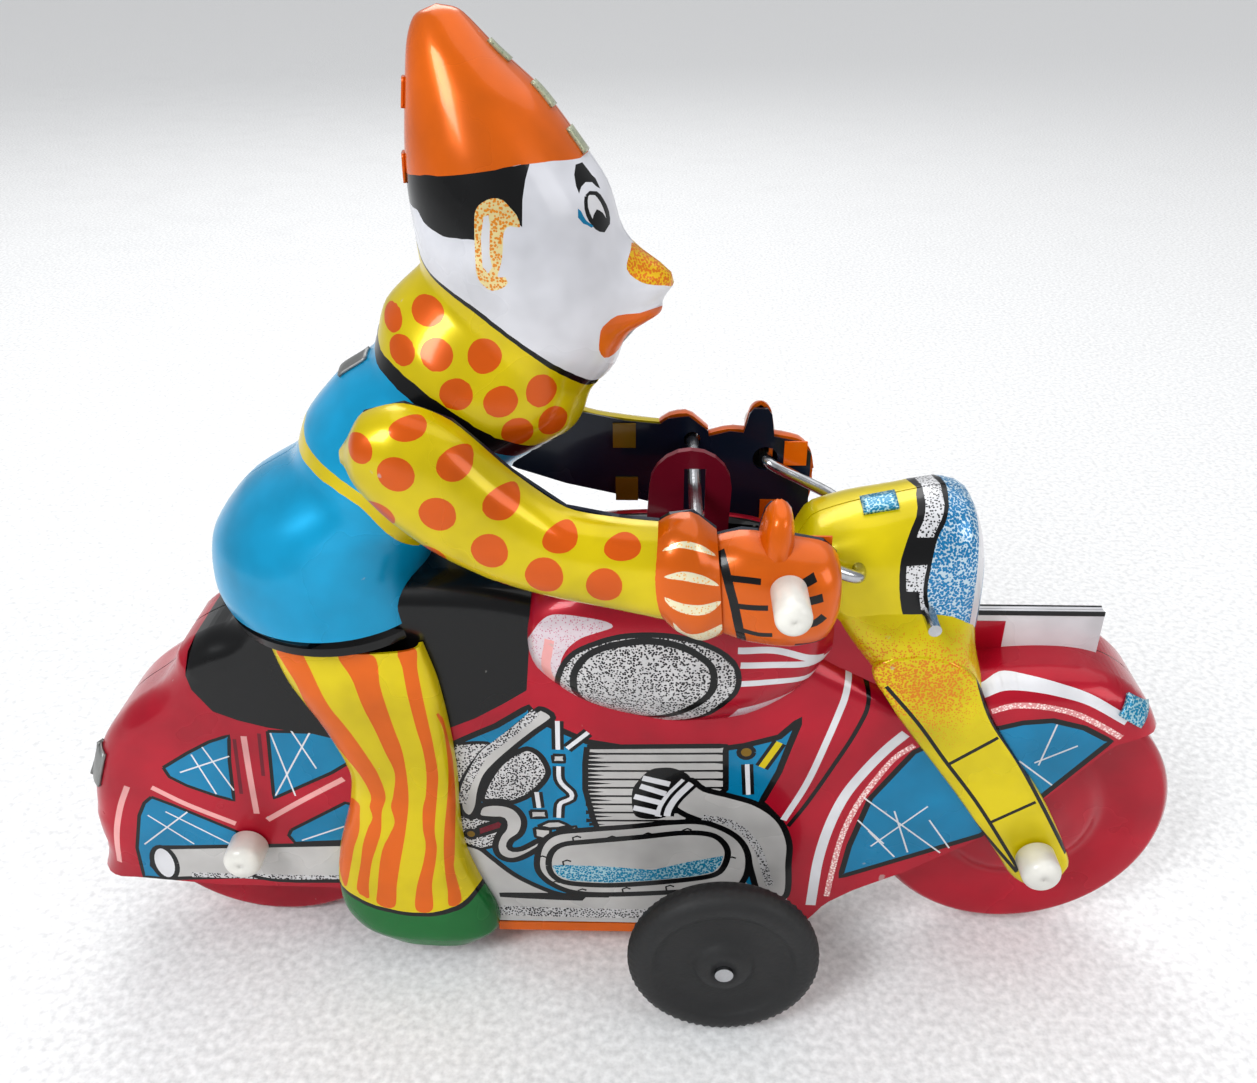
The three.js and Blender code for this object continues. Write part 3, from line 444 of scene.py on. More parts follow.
STIPPLE_SCALE = 3200  # print dots per metre, about 0.3 mm apart
BARE_TIN = linear((176, 174, 170))


def ink(name, rgb, stipple=None, share=0.5, fading=False, metal=0.25, scuffs=0.5):
    """Printing ink under lacquer on tin. Stipple is a second colour printed over it in fine dots that
    cover the given share, or that thin out with the surface's own shade value when fading is true."""
    n = Nodes(name)
    base = linear(rgb)
    darker = linear([0.82 * c for c in rgb])
    colour = n.mix(n.ramp(n.noise(90, 3.0), 0.35, 0.75), base, darker)
    if stipple:
        distance = n.dots(STIPPLE_SCALE)
        reach = 0.72 * share
        if fading:
            shade = n.add("ShaderNodeAttribute", attribute_name="shade").outputs["Fac"]
            edge = n.math("MULTIPLY", shade, reach * 1.5)
        else:
            edge = n.ramp(n.noise(60), 0.3, 0.7, reach * 0.9, reach * 1.1)
        inside = n.math("SUBTRACT", edge, distance)
        colour = n.mix(n.ramp(inside, -0.03, 0.03), colour, linear(stipple))
    worn = n.ramp(n.noise(420, 6.0), 0.735, 0.76, 0.0, scuffs)
    colour = n.mix(worn, colour, BARE_TIN)
    smear = n.noise(35, 4.0)
    n.set(Base_Color=colour, Metallic=metal, Roughness=n.ramp(smear, 0.3, 0.75, 0.2, 0.36))
    n.set(Specular_IOR_Level=0.18, Coat_Weight=0.3)
    n.set(Coat_Roughness=n.ramp(n.noise(150, 5.0), 0.3, 0.8, 0.04, 0.14))
    n.bump(n.noise(170, 2.0), 0.12, 0.0003)
    return n.material


def plain(name, rgb, metallic, roughness, grain=300, coat=0.0, bump=0.1):
    """Bare metal or moulded plastic with fine grain and uneven polish."""
    n = Nodes(name)
    tone = n.ramp(n.noise(grain, 5.0), 0.3, 0.7)
    colour = n.mix(tone, linear(rgb), linear([0.86 * c for c in rgb]))
    polish = n.ramp(n.noise(45, 4.0), 0.3, 0.75, roughness * 0.8, roughness * 1.25)
    n.set(Base_Color=colour, Metallic=metallic, Roughness=polish, Coat_Weight=coat)
    n.bump(n.noise(grain * 2, 3.0), bump, 0.0002)
    return n.material


WHITE = (226, 225, 228)
INK_BLACK = (9, 9, 10)
INKS = {
    "crimson": ink("ink_crimson", (178, 12, 38)),
    "dark_crimson": ink("ink_dark_crimson", (112, 12, 32)),
    "black": ink("ink_black", INK_BLACK, metal=0.1),
    "teal": ink("ink_teal", (0, 126, 172)),
    "sky": ink("ink_sky", (0, 156, 206)),
    "yellow": ink("ink_yellow", (218, 194, 0)),
    "yellow_shaded": ink("ink_yellow_shaded", (222, 200, 0), (214, 120, 14), fading=True),
    "orange": ink("ink_orange", (224, 98, 2)),
    "orange_dot": ink("ink_orange_dot", (218, 88, 2)),
    "white": ink("ink_white", WHITE, metal=0.08),
    "skin": ink("ink_skin", (224, 224, 230), metal=0.05),
    "grey": ink("ink_grey", (196, 193, 190), metal=0.15),
    "grey_stipple": ink("ink_grey_stipple", (212, 210, 210), (30, 28, 30), share=0.6),
    "pink": ink("ink_pink", (240, 168, 165)),
    "pink_stipple": ink("ink_pink_stipple", (228, 150, 150), (250, 225, 220), share=0.6),
    "rose_stipple": ink("ink_rose_stipple", (222, 206, 212), (196, 120, 142), share=0.4),
    "green": ink("ink_green", (16, 104, 44)),
    "ear": ink("ink_ear", (246, 226, 160), (208, 126, 30), share=0.66),
    "nose": ink("ink_nose", (232, 184, 20), (214, 112, 14), share=0.7),
    "cream": ink("ink_cream", (248, 238, 200), (232, 160, 70), share=0.4),
    "tab": ink("ink_tab", (176, 180, 150), (120, 138, 110), share=0.4),
    "lens": ink("ink_lens", (200, 222, 234), (24, 116, 168), share=0.78),
    "teal_stipple": ink("ink_teal_stipple", (170, 210, 220), (10, 122, 160), share=0.78),
    "rim_stipple": ink("ink_rim_stipple", (226, 226, 228), (40, 40, 42), share=0.5),
    "navy": ink("ink_navy", (16, 26, 44), metal=0.15),
    # Dull yellow for two small printed knobs, and painted shade on the sleeve's tabs
    "dull_yellow": ink("ink_dull_yellow", (128, 96, 14)),
    "inside": plain("bare_tin_inside", (150, 150, 148), 0.9, 0.42),
}
STEEL = plain("bright_steel", (196, 197, 200), 1.0, 0.24, grain=500)
DARK_STEEL = plain("motor_steel", (150, 152, 156), 1.0, 0.36)
BRASS = plain("plain_brass", (196, 160, 82), 1.0, 0.32)
PLASTIC = plain("white_plastic", (236, 233, 224), 0.0, 0.34, grain=200, coat=0.25, bump=0.05)
RUBBER = plain("black_moulded_tyre", (17, 17, 18), 0.0, 0.55, grain=700, bump=0.35)


# ---- Meshes ----


def to_frame(points):
    return (np.asarray(points, float) + [0, SEAM_Y, 0]) * MM


def new_object(name, verts, faces, materials, indices=None, normals=None, shade=None):
    """A smooth-shaded mesh from millimetre points. Normals are one per vertex when given."""
    mesh = bpy.data.meshes.new(name)
    mesh.from_pydata(to_frame(verts).tolist(), [], faces)
    for material in materials:
        mesh.materials.append(material)
    if indices is not None:
        mesh.polygons.foreach_set("material_index", indices)
    mesh.shade_smooth()
    if shade is not None:
        mesh.attributes.new("shade", "FLOAT", "POINT").data.foreach_set("value", shade)
    if normals is not None:
        mesh.normals_split_custom_set_from_vertices(np.asarray(normals).tolist())
    mesh.update()
    made = bpy.data.objects.new(name, mesh)
    bpy.context.scene.collection.objects.link(made)
    return made


def joined(name, objects):
    """The objects as one object with this name."""
    for o in bpy.context.selected_objects:
        o.select_set(False)
    for o in objects:
        o.select_set(True)
    bpy.context.view_layer.objects.active = objects[0]
    if len(objects) > 1:
        bpy.ops.object.join()
    objects[0].name = name
    return objects[0]


def finish_piece(piece, body, nodes):
    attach(piece, body)
    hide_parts(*nodes)
    return piece


# ---- Outlines ----


def smooth(points, closed=False, step=1.0):
    """Catmull-Rom curve through the points, sampled about every step millimetres."""
    p = np.asarray(points, float)
    count = len(p)
    out = []
    spans = count if closed else count - 1
    for i in range(spans):
        if closed:
            a, b, c, d = (p[(i + k) % count] for k in (-1, 0, 1, 2))
        else:
            b, c = p[i], p[i + 1]
            a = p[i - 1] if i else 2 * b - c
            d = p[i + 2] if i + 2 < count else 2 * c - b
        steps = max(1, math.ceil(np.linalg.norm(c - b) / step))
        for k in range(steps):
            t = k / steps
            out.append(
                0.5
                * (2 * b + (c - a) * t + (2 * a - 5 * b + 4 * c - d) * t * t + (3 * b - a - 3 * c + d) * t**3)
            )
    if not closed:
        out.append(p[-1])
    return np.array(out)


def dense(points, closed=True, step=1.0):
    """The straight-sided outline with points added so that none are further apart than step."""
    p = np.asarray(points, float)
    last = len(p) if closed else len(p) - 1
    out = []
    for i in range(last):
        a, b = p[i], p[(i + 1) % len(p)]
        steps = max(1, math.ceil(np.linalg.norm(b - a) / step))
        out += [a + (b - a) * k / steps for k in range(steps)]
    if not closed:
        out.append(p[-1])
    return np.array(out)


def stroke(points, width, curved=True):
    """A drawn line as a row of four-sided pieces."""
    line = smooth(points, step=0.8) if curved and len(points) > 2 else dense(points, closed=False, step=0.8)
    ahead = np.gradient(line, axis=0)
    ahead /= np.linalg.norm(ahead, axis=1, keepdims=True) + 1e-9
    across = np.stack([-ahead[:, 1], ahead[:, 0]], 1) * width / 2
    left, right = line + across, line - across
    return [np.array([left[i], left[i + 1], right[i + 1], right[i]]) for i in range(len(line) - 1)]


def oval(centre, radius_x, radius_z, turn=0.0, count=28):
    angles = np.linspace(0, 2 * math.pi, count, endpoint=False)
    x, z = radius_x * np.cos(angles), radius_z * np.sin(angles)
    c, s = math.cos(turn), math.sin(turn)
    return np.stack([centre[0] + c * x - s * z, centre[1] + s * x + c * z], 1)


def inside(points, outline):
    """The numbers of the points that lie inside an outline."""
    a = np.asarray(outline, float)
    b = np.roll(a, -1, axis=0)
    near = np.nonzero(((points >= a.min(0)) & (points <= a.max(0))).all(1))[0]
    x, y = points[near, 0, None], points[near, 1, None]
    spans = (a[:, 1] > y) != (b[:, 1] > y)
    rise = np.where(b[:, 1] == a[:, 1], 1.0, b[:, 1] - a[:, 1])
    crossing = a[:, 0] + (y - a[:, 1]) / rise * (b[:, 0] - a[:, 0])
    return near[(spans & (x < crossing)).sum(1) % 2 == 1]


class Art:
    """Inked regions in the side view, painted in order, each later one over the ones before."""

    def __init__(self):
        self.regions = []

    def fill(self, colour, outline, line=0.0, curved=False):
        points = smooth(outline, closed=True, step=0.7) if curved else np.asarray(outline, float)
        self.regions.append((colour, points))
        if line:
            self.line("black", list(points) + [points[0]], line, curved=False)
        return self

    def line(self, colour, points, width, curved=True):
        for piece in stroke(points, width, curved):
            self.regions.append((colour, piece))
        return self


# ---- Printed shells ----

ON_EDGE = 0.05  # a point this near an outline faces square to it


def edge_distance(points, outline):
    """Each point's distance to the closed outline, and the direction inwards from its nearest point."""
    a = np.asarray(outline, float)
    b = np.roll(a, -1, axis=0)
    along = b - a
    length2 = np.maximum((along**2).sum(1), 1e-12)
    turning = np.sign((a[:, 0] * b[:, 1] - a[:, 1] * b[:, 0]).sum())
    inward = turning * np.stack([-along[:, 1], along[:, 0]], 1) / np.sqrt(length2)[:, None]
    best = np.full(len(points), np.inf)
    away = np.zeros((len(points), 2))
    square_on = np.zeros((len(points), 2))
    for i in range(len(a)):
        t = np.clip(((points - a[i]) @ along[i]) / length2[i], 0, 1)
        offset = points - (a[i] + t[:, None] * along[i])
        d = np.hypot(offset[:, 0], offset[:, 1])
        closer = d < best
        best[closer] = d[closer]
        away[closer] = offset[closer]
        square_on[closer] = inward[i]
    on_edge = best < ON_EDGE
    away[on_edge] = square_on[on_edge]
    return best, away / (np.hypot(away[:, 0], away[:, 1])[:, None] + 1e-9)


class Dome:
    """A half shell standing up from its outline: flat on top, with its edge rounded over."""

    def __init__(self, outline, half, side, depth, base=0.0):
        self.outline = outline
        self.half, self.side, self.depth, self.base = half, side, depth, base

    def at(self, points):
        distance, away = edge_distance(points, self.outline)
        t = np.clip(distance / self.side, 0.0, 1.0)
        rise = np.sqrt(np.clip(1 - (1 - t) ** 2, 0, 1))
        y = self.base + self.half - self.depth + self.depth * rise
        slope = np.where(t < 1, self.depth / self.side * (1 - t) / np.maximum(rise, 0.04), 0)
        normal = np.stack([-slope * away[:, 0], np.ones(len(t)), -slope * away[:, 1]], 1)
        normal /= np.linalg.norm(normal, axis=1, keepdims=True)
        return np.stack([points[:, 0], y, points[:, 1]], 1), normal


def hermite(values, s):
    """The same smooth curve through ring values as the CAD's rings use, at ring positions s."""
    tension = 0.4
    v = np.asarray(values, float)
    padded = np.concatenate([[2 * v[0] - v[1]], v, [2 * v[-1] - v[-2]]])
    i = np.clip(np.floor(s).astype(int), 0, len(v) - 2)
    t = (s - i)[:, None] if v.ndim > 1 else s - i
    a, b, c, d = padded[i], padded[i + 1], padded[i + 2], padded[i + 3]
    m0, m1 = tension * (c - a), tension * (d - b)
    t2, t3 = t * t, t**3
    return (2 * t3 - 3 * t2 + 1) * b + (t3 - 2 * t2 + t) * m0 + (3 * t2 - 2 * t3) * c + (t3 - t2) * m1


class Loft:
    """A half form of rings between two side-view edges, bulging out from the plane y = base.
    Each ring is [x, z, opposite x, opposite z, half width]."""

    def __init__(self, rings, base=0.0, fullness=1.0, shaped=None):
        rings = np.asarray(rings, float)
        self.first, self.other, self.half = rings[:, 0:2], rings[:, 2:4], rings[:, 4]
        self.base, self.fullness, self.shaped = base, fullness, shaped
        self.last = len(rings) - 1
        middle = (self.first + self.other) / 2
        self.length = np.linalg.norm(np.diff(middle, axis=0), axis=1).sum()
        self.girth = 2.2 * self.half.mean() + 0.6 * np.linalg.norm(self.other - self.first, axis=1).mean()

    def corner(self, s, u):
        """The flat place of a share s along the rings and a share u round the half ring."""
        return [s * self.length, u * self.girth]

    def flat(self, points):
        """The flat place of side-view points: along the rings, and round the half ring."""
        points = np.asarray(points, float)
        s = np.linspace(0, self.last, 900)
        first, other = hermite(self.first, s), hermite(self.other, s)
        middle, across = (first + other) / 2, (other - first) / 2
        reach = np.linalg.norm(across, axis=1) + 1e-6
        direction = across / reach[:, None]
        off = points[:, None, :] - middle[None]
        t = (off * direction[None]).sum(2) / reach[None]
        nearest = (np.clip(t, -1, 1) * reach)[..., None] * direction[None]
        best = np.linalg.norm(off - nearest, axis=2).argmin(1)
        rows = np.arange(len(points))
        t = np.clip(t[rows, best], -1, 1)
        bent = np.sign(t) * np.abs(t) ** (1 / self.fullness)
        u = np.arccos(bent) / math.pi
        return np.stack([s[best] / self.last * self.length, u * self.girth], 1)

    def raw(self, flat):
        s = np.clip(flat[:, 0] / self.length * self.last, 0, self.last)
        angle = np.clip(flat[:, 1] / self.girth, 0, 1) * math.pi
        first, other = hermite(self.first, s), hermite(self.other, s)
        middle, across = (first + other) / 2, (other - first) / 2
        c = np.cos(angle)
        c = np.sign(c) * np.abs(c) ** self.fullness
        y = np.maximum(hermite(self.half, s), 0) * np.abs(np.sin(angle)) ** self.fullness
        place = middle + across * c[:, None]
        points = np.stack([place[:, 0], self.base + y, place[:, 1]], 1)
        return self.shaped(points) if self.shaped else points

    def at(self, flat):
        points = self.raw(flat)
        inner = np.clip(flat, [0.02, 0.02], [self.length - 0.02, self.girth - 0.02])
        step = 0.02
        along = self.raw(inner + [step, 0]) - self.raw(inner - [step, 0])
        round_it = self.raw(inner + [0, step]) - self.raw(inner - [0, step])
        normal = np.cross(along, round_it)
        normal /= np.linalg.norm(normal, axis=1, keepdims=True) + 1e-12
        if normal[:, 1].sum() < 0:
            normal = -normal
        return points, normal


def printed_shell(form, domain, art, spacing, base="crimson", wall=None, extra=(), shade=None):
    """One tin shell: its outer face cut along the art's outlines, its bare inner face, and its rim.
    Domain is the shell's outline on the form's flat plane and art is (ink, outline) on the same plane.
    Triangles in the ink "none" are left out. Wall carries the outline's edge down to that y."""
    coords = []
    edges = []
    for outline in [domain] + [region for _, region in art]:
        first, count = len(coords), len(outline)
        coords += [Vector(p) for p in outline]
        edges += [(first + k, first + (k + 1) % count) for k in range(count)]
    low, high = domain.min(0), domain.max(0)
    columns = np.arange(low[0] + spacing / 2, high[0], spacing)
    rows = np.arange(low[1] + spacing / 2, high[1], spacing)
    for i, a in enumerate(columns):
        coords += [Vector((a, b + (spacing / 2 if i % 2 else 0))) for b in rows]
    coords += [Vector(p) for p in extra]
    points, _, faces, _, _, _ = delaunay_2d_cdt(coords, edges, [], 0, 1e-4, False)
    flat = np.array([tuple(p) for p in points])
    faces = np.array([face for face in faces if len(face) == 3])
    centres = flat[faces].mean(1)
    inks = [base] + sorted({colour for colour, _ in art} - {base})
    painted = np.full(len(faces), -1)
    painted[inside(centres, domain)] = 0
    for colour, region in art:
        under = inside(centres, region)
        painted[under[painted[under] >= 0]] = inks.index(colour)
    if "none" in inks:
        painted[painted == inks.index("none")] = -1
    kept = faces[painted >= 0].tolist()
    colours = [inks[number] for number in painted[painted >= 0]]
    used = sorted({v for face in kept for v in face})
    renumber = {v: i for i, v in enumerate(used)}
    flat = flat[used]
    tris = np.array([[renumber[v] for v in face] for face in kept])
    verts, normals = form.at(flat)
    a, b, c = (verts[tris[:, k]] for k in range(3))
    turned = (np.cross(b - a, c - a) * normals[tris].mean(1)).sum(1) < 0
    tris[turned] = tris[turned][:, ::-1]
    shades = shade(verts) if shade else np.zeros(len(verts))

    palette = sorted(set(colours)) + ["inside"]
    slots = [palette.index(colour) for colour in colours]
    edge_count = {}
    for number, (p, q, r) in enumerate(tris):
        for edge in ((p, q), (q, r), (r, p)):
            key = (min(edge), max(edge))
            edge_count[key] = None if key in edge_count else (edge[0], edge[1], number)
    rim = [edge for edge in edge_count.values() if edge]

    all_verts = [verts, verts - normals * TIN]
    all_normals = [normals, -normals]
    all_faces = [tris, tris[:, ::-1] + len(verts)]
    materials = slots + [len(palette) - 1] * len(tris)
    start = 2 * len(verts)
    rim_verts, rim_normals, rim_faces, rim_slots = [], [], [], []

    def quad(corners, slot):
        across = np.cross(corners[1] - corners[0], corners[3] - corners[0])
        across /= np.linalg.norm(across) + 1e-12
        first = start + len(rim_verts)
        rim_verts.extend(corners)
        rim_normals.extend([across] * 4)
        rim_faces.append([first, first + 1, first + 2, first + 3])
        rim_slots.append(slot)

    for p, q, number in rim:
        vp, vq = verts[p], verts[q]
        at_edge = wall is not None and min(vp[1], vq[1]) < form.base + form.half - form.depth + 0.2
        if at_edge:
            quad([vq, vp, np.array([vp[0], wall, vp[2]]), np.array([vq[0], wall, vq[2]])], slots[number])
        else:
            quad([vq, vp, vp - normals[p] * TIN, vq - normals[q] * TIN], slots[number])
    faces_out = all_faces[0].tolist() + all_faces[1].tolist() + rim_faces
    materials += rim_slots
    everything = np.concatenate(all_verts + [np.array(rim_verts)])
    every_normal = np.concatenate(all_normals + [np.array(rim_normals)])
    shades = np.concatenate([shades, shades, np.zeros(len(rim_verts))])
    return everything, every_normal, faces_out, materials, [INKS[colour] for colour in palette], shades


def both_sides(name, shell):
    """The left shell and its mirror image on the right, as two objects."""
    verts, normals, faces, slots, materials, shades = shell
    left = new_object(name + "_left", verts, faces, materials, slots, normals, shades)
    flip = np.array([1, -1, 1])
    turned = [face[::-1] for face in faces]
    right = new_object(name + "_right", verts * flip, turned, materials, slots, normals * flip, shades)
    return left, right


def loft_domain(form):
    corners = [form.corner(0, 0), form.corner(1, 0), form.corner(1, 1), form.corner(0, 1)]
    return dense(corners)


def on_form(form, art):
    """Side-view art moved on to the form's flat plane."""
    return [(colour, form.flat(dense(region, step=0.8))) for colour, region in art.regions]


def zone(form, colour, upper=None, lower=None):
    """Everything between two side-view lines that cross the whole form, or to its end where one is None."""
    def line(points, at_end):
        if points is None:
            return [form.corner(at_end, 0), form.corner(at_end, 1)]
        run = form.flat(smooth(points, step=0.8))
        run = run[np.argsort(run[:, 1])]
        return [[run[0][0], 0], *run.tolist(), [run[-1][0], form.girth]]

    return (colour, np.array(line(upper, 0) + line(lower, 1)[::-1]))


def zone_line(form, colour, points, width):
    """A line of ink right across a form."""
    run = form.flat(smooth(points, step=0.8))
    run = run[np.argsort(run[:, 1])]
    run = np.array([[run[0][0], 0], *run.tolist(), [run[-1][0], form.girth]])
    half = [width / 2, 0]
    return (colour, np.concatenate([run - half, (run + half)[::-1]]))


# ---- Body and tank ----

BODY_HALF = 9.0
body_outline = smooth(
    [
        (-72.5, -20), (-74.5, 18), (-74.1, 26), (-72, 34), (-67.5, 40.4), (-61.5, 45), (-58.9, 48.2),
        (-57.6, 51), (-53.8, 53.4), (-50, 55), (-46.5, 58.6), (-42, 62), (-30, 62.6), (-16, 62), (0, 58),
        (16, 56), (27, 50), (36, 46), (44, 48.4), (53, 49.3), (60, 48.4), (65.2, 45.2), (68.2, 40.5),
        (69.6, 34), (70, -20),
    ],
    closed=True,
)
lower_edge = np.array(
    [
        (-90, 14), (-70, 13.6), (-58, 12.4), (-42, 12.2), (-33, 10), (-26, 6.6), (-19, 6.2), (22, 6.2),
        (25, 7.2), (27.2, 10.6), (31, 13.4), (38, 17.2), (47.3, 23.6), (54, 30), (61.6, 39.6), (65, 41),
        (90, 41),
    ]
)


def above(outline, edge):
    """The part of an outline that is above an edge line, closed along that line."""
    over = outline[:, 1] > np.interp(outline[:, 0], edge[:, 0], edge[:, 1])
    start = next(i for i in range(len(over)) if over[i] and not over[i - 1])
    run = [outline[(start + k) % len(outline)] for k in range(over.sum())]
    left, right = run[0][0], run[-1][0]
    xs = np.arange(right, left, -1.0)
    return np.array(run + [(x, np.interp(x, edge[:, 0], edge[:, 1])) for x in xs])


def inset_points(outline, depths):
    """Points just inside an outline, where its edge is rounded over."""
    ahead = np.roll(outline, -1, axis=0) - np.roll(outline, 1, axis=0)
    inward = np.stack([ahead[:, 1], -ahead[:, 0]], 1) / (np.linalg.norm(ahead, axis=1, keepdims=True) + 1e-9)
    if (outline[:, 0] * np.roll(outline[:, 1], -1) - outline[:, 1] * np.roll(outline[:, 0], -1)).sum() > 0:
        inward = -inward
    out = []
    for depth in depths:
        moved = outline + inward * depth
        distance, _ = edge_distance(moved, outline)
        out += moved[distance > depth * 0.9].tolist()
    return out


body_art = Art()
body_art.fill("teal", ENGINE_BACK, 0.9)
body_art.fill("grey", FAIRING_TOP + [(10, 5), (-10, 5), (-26.5, 5), (-32, 9), (-33, 20)])
body_art.line("black", FAIRING_TOP[:9], 0.8)
body_art.line("grey_stipple", [(-24, 8.4), (-10, 8), (18, 8)], 1.8)
body_art.fill("grey_stipple", FRAME_SHADE, 0.5)
body_art.fill("grey_stipple", FILTER_BACK, 0.5, curved=True)
body_art.fill("grey_stipple", FILTER, 0.8, curved=True)
body_art.fill("grey", LONG_PIPE, 0.8, curved=True)
body_art.line("grey_stipple", LONG_PIPE_SHADE, 1.2)
body_art.fill("grey", BENT_PIPE, 0.9, curved=True)
body_art.fill("dark_crimson", RED_ROD, 0.6)
body_art.fill("dull_yellow", oval((-21.8, 22.8), 0.8, 0.8, count=12), 0.5)
for rod in RODS:
    body_art.line("black", rod, 1.6)
    body_art.line("white", rod, 0.6)
for box in SMALL_BOXES:
    body_art.fill("grey", box, 0.5)
body_art.fill("grey", CYLINDER, 0.8)
FIN_STEP = 1.45
for i in range(9):
    level = 37.2 - FIN_STEP * i
    body_art.line("black", [(-4.8, level), (4, level + 0.15), (12.2, level + 0.35)], 0.32)
    body_art.fill("black", [(-6, level + 0.35), (-6, level - 0.35), (-2.4 + i % 2, level)])
    body_art.fill("black", [(-5.6, level - 0.4), (-5.6, level - 1.0), (-3.4 + i % 2, level - 0.7)])
    body_art.fill("black", [(12.6, level + 0.6), (12.6, level), (10.4 - i % 2, level + 0.3)])
body_art.fill("grey", EXHAUST_PIPE, 0.9, curved=True)
body_art.line("grey_stipple", [(9.6, 26.4), (13.6, 25.4), (17, 21.6), (19.4, 14)], 1.1)
body_art.fill("black", HEADER, curved=True)
for flange in FLANGES:
    body_art.line("black", flange, 1.9)
    body_art.line("white", flange, 0.9)
for bar in HEADER_BARS:
    body_art.line("white", bar, 0.9)
body_art.fill("grey", CRANKCASE, 0.9, curved=True)
body_art.fill("grey", CRANKCASE_INNER, 0.9, curved=True)
body_art.fill("teal_stipple", [(-10.9, 17.1), (-9.7, 17.3), (-3, 17.1), (3, 16.6), (7.8, 18.2),
    (12.7, 19.5), (12.4, 17.8),
     (11.4, 16.4), (9, 15.6), (3, 14.6), (-3.1, 14), (-8.4, 14.3), (-10.2, 15.3)])
for x, z in BOLTS:
    body_art.line("black", [(x - 0.5, z - 0.45), (x - 0.6, z + 0.3), (x, z + 0.6),
        (x + 0.55, z + 0.35)], 0.28)
body_art.fill("dull_yellow", oval((15, 37.8), 1, 1, count=14), 0.6)
body_art.line("black", YELLOW_BAR, 1.9)
body_art.line("yellow", YELLOW_BAR, 0.9)

# The spoked wheels printed behind the rear fender and the front one
for window in WINDOWS:
    body_art.fill("teal", window, 0.5)
for thin in FINE_SPOKES:
    body_art.line("white", thin, 0.22)
for dark in SPOKE_SHADES:
    body_art.line("dark_crimson", dark, 0.5)
for pale in SPOKES:
    body_art.line("pink", pale, 0.8)
body_art.fill("grey", SILENCER, 0.7)
body_art.line("grey_stipple", [(-62, 14.2), (-46, 14), (-38.6, 14.2)], 0.9)
body_art.fill("white", oval((-65.4, 16.4), 1.7, 3.1, count=24), 0.7)
body_art.line("black", SILENCER_CURVE, 0.6)
body_art.line("white", FRAME_STRIPE, 0.9)
body_art.line("black", FRAME_LINE, 0.6)
body_art.line("white", ARCH_STRIPE, 1.4)
body_art.line("pink_stipple", ARCH_DOTS, 0.8)
body_art.line("white", GUARD_STRIPE, 1.3)
body_art.line("pink_stipple", GUARD_DOTS, 0.8)
body_art.fill("teal", FRONT_WINDOW, 0.8)
for thin in FRONT_FINE_SPOKES:
    body_art.line("white", thin, 0.22)
body_art.fill("black", SEAT_FOOT + [(-12, 58), (-12, 75), (-60, 75), (-56.4, 57)])

body_form = Dome(body_outline, BODY_HALF, 3.8, 4.2, HALF_GAP)
body_domain = above(body_outline, lower_edge)
ROUND_STEPS = (0.25, 0.7, 1.3, 2.1, 3.0)
body_shell = printed_shell(
    body_form, body_domain, body_art.regions, 1.6,
    wall=HALF_GAP, extra=inset_points(body_outline, ROUND_STEPS),
)

neck_outline = smooth(
    [(18, 50), (26, 46), (35, 45), (39, 50), (38.6, 58), (34, 62.6), (25, 61.6), (18, 60)], closed=True
)
neck_form = Dome(neck_outline, 6.8, 2.4, 3, HALF_GAP)
neck_shell = printed_shell(
    neck_form, neck_outline, [], 1.4, wall=HALF_GAP, extra=inset_points(neck_outline, ROUND_STEPS[:4])
)

tank_form = Loft(
    [
        (-13.4, 54, -13, 58, 7), (-11.6, 48.4, -11.4, 62, 10.4), (-5.4, 42.8, -5, 65.4, 11.7),
        (5, 39.8, 5, 66.2, 12), (14.6, 41, 14.6, 65.4, 11.8), (21.4, 45.6, 21, 63, 10.6),
        (25, 51, 25, 58, 7.5),
    ],
    base=HALF_GAP,
    fullness=0.8,
)
tank_art = Art()
tank_art.fill("rose_stipple", TANK_GLOSS, curved=True)
tank_art.line("pink", [(-9.6, 56.4), (-10.2, 51.6), (-8.6, 47), (-6.4, 44.8)], 1.2)
tank_art.fill("rose_stipple", TANK_DOTS)
for stripe in TANK_STRIPES:
    tank_art.line("white", stripe, 0.9)
tank_art.fill("grey_stipple", TANK_OVAL, 0.7, curved=True)
tank_art.fill("grey_stipple", TANK_OVAL_INNER, 0.9, curved=True)
OPENING_START, OPENING_END, OPENING_SIDE = 0.41, 0.74, 0.06
lever_opening = np.array(
    [
        tank_form.corner(OPENING_START, OPENING_SIDE), tank_form.corner(OPENING_END, OPENING_SIDE),
        tank_form.corner(OPENING_END, 0), tank_form.corner(OPENING_START, 0),
    ]
)
opening_edge = np.array(
    [
        tank_form.corner(OPENING_START - 0.02, OPENING_SIDE + 0.02),
        tank_form.corner(OPENING_END + 0.02, OPENING_SIDE + 0.02),
        tank_form.corner(OPENING_END + 0.02, 0), tank_form.corner(OPENING_START - 0.02, 0),
    ]
)
tank_shell = printed_shell(
    tank_form, loft_domain(tank_form),
    on_form(tank_form, tank_art) + [("black", opening_edge), ("none", lever_opening)], 1.2,
)


def block(name, low, high, materials):
    """A box in millimetres."""
    corners = [(x, y, z) for x in (low[0], high[0]) for y in (low[1], high[1]) for z in (low[2], high[2])]
    faces = [(0, 1, 3, 2), (4, 6, 7, 5), (0, 4, 5, 1), (2, 3, 7, 6), (0, 2, 6, 4), (1, 5, 7, 3)]
    made = new_object(name, corners, faces, materials)
    made.data.shade_flat()
    return made


